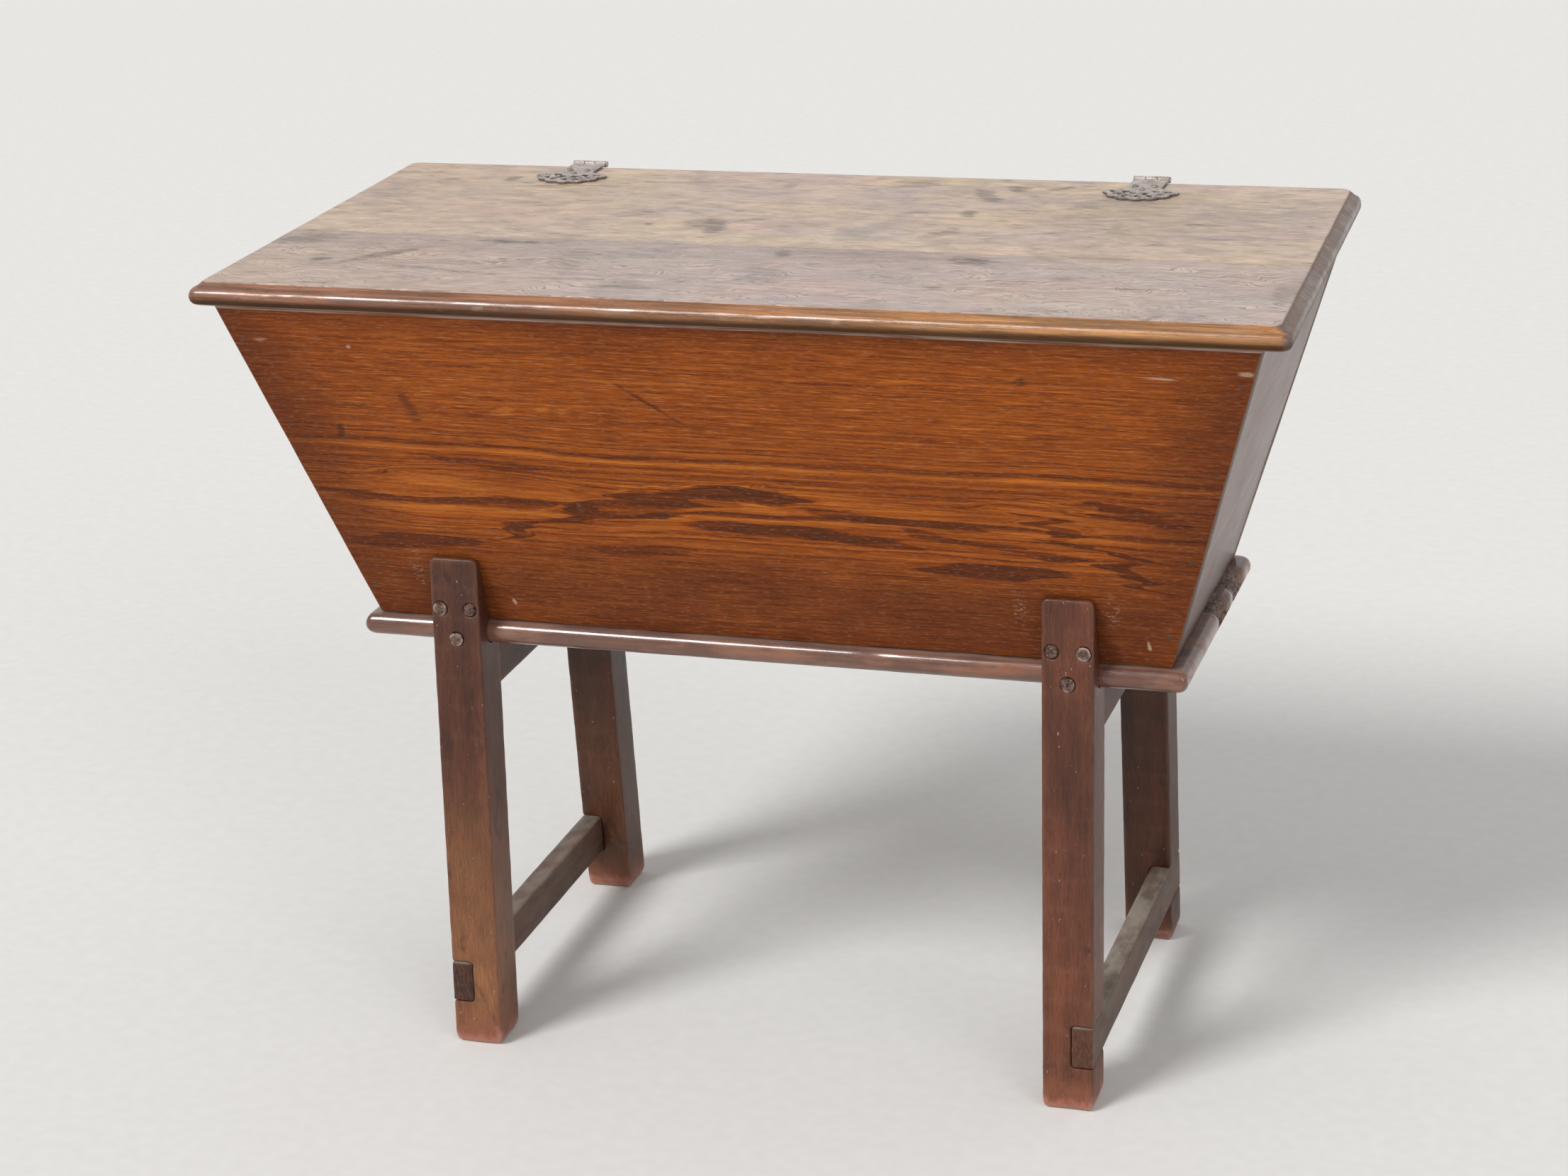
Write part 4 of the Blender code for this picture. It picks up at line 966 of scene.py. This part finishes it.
def dress_stand():
    for seed, (node, looks) in enumerate(LEG_LOOKS.items()):
        mesh = rubbed_copy(node, WOOD_VOXEL, 4, seed + 81, 0.4)
        worn_foot(mesh, seed)
        show_mesh(f"{node}_worn", mesh, leg_paint(f"{node}_elm", 3.0 * seed + 2.0, *looks), BIN, [node])
    for node, (slot, seed, dust, ends) in RAIL_LOOKS.items():
        mesh = rubbed_copy(node, WOOD_VOXEL, 3, seed, 0.4)
        show_mesh(f"{node}_worn", mesh, rail_paint(f"{node}_elm", seed, DARK, dust, ends), BIN, [node])


def dress_pegs(paint):
    for number, node in enumerate(sorted(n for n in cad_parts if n.startswith("peg_"))):
        place, length = long_frame(node)
        rings = [(0.86, -length, 0.0), (1.0, -length + 0.002, 0.0), (1.0, -0.002, 0.1), (1.1, -0.0008, 0.5),
                 (1.08, -0.0003, 1.0), (0.96, 0.0, 0.8), (0.72, 0.0001, 0.2), (0.4, 0.0, 0.0)]

        def hewn(angle, row):
            reach = ripple((math.cos(angle), math.sin(angle), number), 0.55, 3)
            return 1 + 0.1 * reach if row > 2 else 1 - 0.03 * abs(reach)

        bm = lathe([(PEG_RADIUS * part, height, rubbed) for part, height, rubbed in rings], 28, hewn)
        bmesh.ops.transform(bm, matrix=place, verts=bm.verts)
        finish_piece(f"{node}_cut", bm, paint, BIN, [node])


def screw_mesh(length):
    """Round-headed screw with a filed slot, its head's top at the origin."""
    head, neck = SCREW_HEAD, SCREW_NECK
    rings = [(neck / 4, -length, 0.0), (neck, -length * 0.75, 0.0), (neck, -0.0014, 0.0), (head, -0.0014, 0.0),
             (head, -0.001, 0.6), (head * 0.93, -0.0006, 0.8), (head * 0.75, -0.0002, 0.8), (head * 0.45, 0.0, 0.4)]
    bm = lathe(rings, 18)
    bmesh.ops.recalc_face_normals(bm, faces=bm.faces)
    slot = bmesh.new()
    bmesh.ops.create_cube(slot, size=1.0, matrix=Matrix.Diagonal((*SCREW_SLOT, 1.0)))
    cutter = linked("slot", mesh_of("slot", slot))
    settings = {"operation": "DIFFERENCE", "solver": "EXACT", "object": cutter}
    result = applied(mesh_of("screw", bm), [("BOOLEAN", settings)])
    bpy.data.objects.remove(cutter)
    return result


def chased(mesh, out, down, seed):
    """Raises curling ridges on a hinge leaf's fan, and marks the hollows between them and the plate's cut edges."""
    sunk = mesh.attributes.new("sunk", "FLOAT", "POINT")
    runs = [vert.co.dot(down) for vert in mesh.vertices]
    steep = [vert.normal.dot(out) for vert in mesh.vertices]
    knuckle, fan_start = min(runs) + 0.012, max(runs) - 0.034
    for vert, run, upward in zip(mesh.vertices, runs, steep):
        plate = clamp((run - knuckle) / 0.004)
        # Darker on the plate's cut edges, and below in the fan's hollows.
        darkened = plate * clamp(1.2 - 1.6 * abs(upward))
        fan = clamp((run - fan_start) / 0.006)
        if upward > 0.4 and fan > 0.0:
            hollow = min(1.0, 3.0 * abs(ripple((vert.co.x, run * 0.7, 0.0), 0.0065, seed))) ** 2
            darkened = max(darkened, 0.55 * fan * hollow)
            vert.co += out * (fan * (0.0009 - 0.0017 * hollow))
        sunk.data[vert.index].value = darkened
    return mesh


def dress_iron():
    """Hinge leaves, their pins and all screws."""
    iron = iron_paint("wrought_iron", (0.4, 0.345, 0.31), (0.62, 0.545, 0.5))
    bright = iron_paint("screw_iron", (0.24, 0.2, 0.17), (0.4, 0.35, 0.31))
    rise, run = math.cos(SIDE_SPLAY), math.sin(SIDE_SPLAY)
    leaves = (
        ("lid_leaf", LID, Vector((0, 0, 1)), Vector((0, -1, 0))),
        ("back_leaf", BIN, Vector((0, rise, -run)), Vector((0, -run, -rise))),
    )
    for seed, side in ((7, "left"), (8, "right")):
        for leaf, body, out, down in leaves:
            node = f"hinge_{side}_{leaf}"
            mesh = chased(rubbed_copy(node, IRON_VOXEL, 3, 95, 0.5, 1.0, 0.0), out, down, seed)
            show_mesh(f"{node}_forged", mesh, iron, body, [node])
        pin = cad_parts[f"hinge_{side}_pin"]
        pin.data.materials.clear()
        pin.data.materials.append(iron)
    meshes = {}
    for number, node in enumerate(sorted(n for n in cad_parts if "_screw_" in n)):
        place, length = long_frame(node)
        key = round(length, 3)
        if key not in meshes:
            meshes[key] = screw_mesh(length)
        mesh = meshes[key].copy()
        mesh.transform(place @ Matrix.Rotation(2.1 * number, 4, "Z"))
        body = BIN if node.startswith("back") else LID
        show_mesh(f"{node}_slotted", mesh, bright, body, [node], 30)


def dress_nails():
    """Nail heads that hold the side boards to the end boards' edges."""
    iron = iron_paint("nail_iron", (0.035, 0.026, 0.021), (0.085, 0.068, 0.056))
    rings = [(0.0016, -0.02, 0.0), (0.0016, -0.0009, 0.0), (0.0026, -0.0007, 0.3), (0.0022, 0.0, 1.0),
             (0.001, 0.0002, 0.6)]
    across = Vector((1, 0, 0))
    for board, side in (("front", -1), ("back", 1)):
        normal = Vector((0, side * math.cos(SIDE_SPLAY), -math.sin(SIDE_SPLAY)))
        for end, way in (("left", -1), ("right", 1)):
            for number, z in enumerate(NAIL_HEIGHTS, 1):
                def hammered(angle, row):
                    return 1 + 0.12 * ripple((math.cos(angle), math.sin(angle), number + way), 0.7, 9)

                bm = lathe(rings, 9, hammered)
                inset = 0.01 + 0.003 * ripple((z, side, way), 0.3, 5)
                place = Matrix((across, normal.cross(across), normal)).transposed().to_4x4()
                middle = Vector((way * (half_length(z) - inset), side * half_depth(z), z))
                place.translation = middle - normal * 0.0002
                bmesh.ops.transform(bm, matrix=place, verts=bm.verts)
                finish_piece(f"nail_{board}_{end}_{number}", bm, iron, BIN)


dress_bin()
dress_bottom()
dress_lid()
dress_stand()
dress_pegs(peg_paint())
dress_iron()
dress_nails()


# Stage, light and camera


def make_floor():
    bm = bmesh.new()
    bmesh.ops.create_grid(bm, x_segments=1, y_segments=1, size=40.0)
    mesh = mesh_of("floor", bm)
    p = Paint("pale_floor", Specular_IOR_Level=0.1)
    fine = p.noise(p.place, (60.0, 60.0, 60.0))
    p.colour = p.ramp(fine, (0.3, 0.7), ((0.76, 0.745, 0.72), (0.79, 0.775, 0.75)))
    mesh.materials.append(p.done(0.9, fine, 0.0002))
    floor = linked("floor", mesh)


def make_sun(name, direction, energy, angle):
    lamp = bpy.data.lights.new(name, "SUN")
    lamp.energy = energy
    lamp.angle = angle
    sun = linked(name, lamp)
    sun.rotation_mode = "QUATERNION"
    sun.rotation_quaternion = Vector(direction).to_track_quat("Z", "Y")


def make_world():
    world = bpy.data.worlds.new("studio")
    world.use_nodes = True
    light = world.node_tree.nodes["Background"].inputs
    light["Color"].default_value = (0.98, 0.99, 1.0, 1.0)
    light["Strength"].default_value = 0.55
    bpy.context.scene.world = world


def make_camera():
    """Camera fitted to the photograph's frame of 2212 by 1659."""
    place, target = Vector((0.9816, -3.0148, 1.5971)), Vector((-0.0291, 0.0, 0.4409))
    roll, focal, width = -0.0465, 4690.85, 2212
    ahead = (target - place).normalized()
    right = ahead.cross(Vector((0, 0, 1))).normalized()
    up = right.cross(ahead)
    turned = right * math.cos(roll) + up * math.sin(roll)
    raised = up * math.cos(roll) - right * math.sin(roll)
    data = bpy.data.cameras.new("camera")
    data.sensor_fit = "HORIZONTAL"
    data.sensor_width = 36.0
    data.lens = focal / width * data.sensor_width
    camera = linked("camera", data)
    matrix = Matrix((turned, raised, -ahead)).transposed().to_4x4()
    matrix.translation = place
    camera.matrix_world = matrix
    bpy.context.scene.camera = camera


make_floor()
make_sun("key", (-0.45, -0.62, 0.72), 2.0, 0.36)
make_sun("fill", (0.6, -0.6, 0.55), 0.4, 0.5)
make_world()
make_camera()
bpy.context.scene.view_settings.view_transform = "Standard"
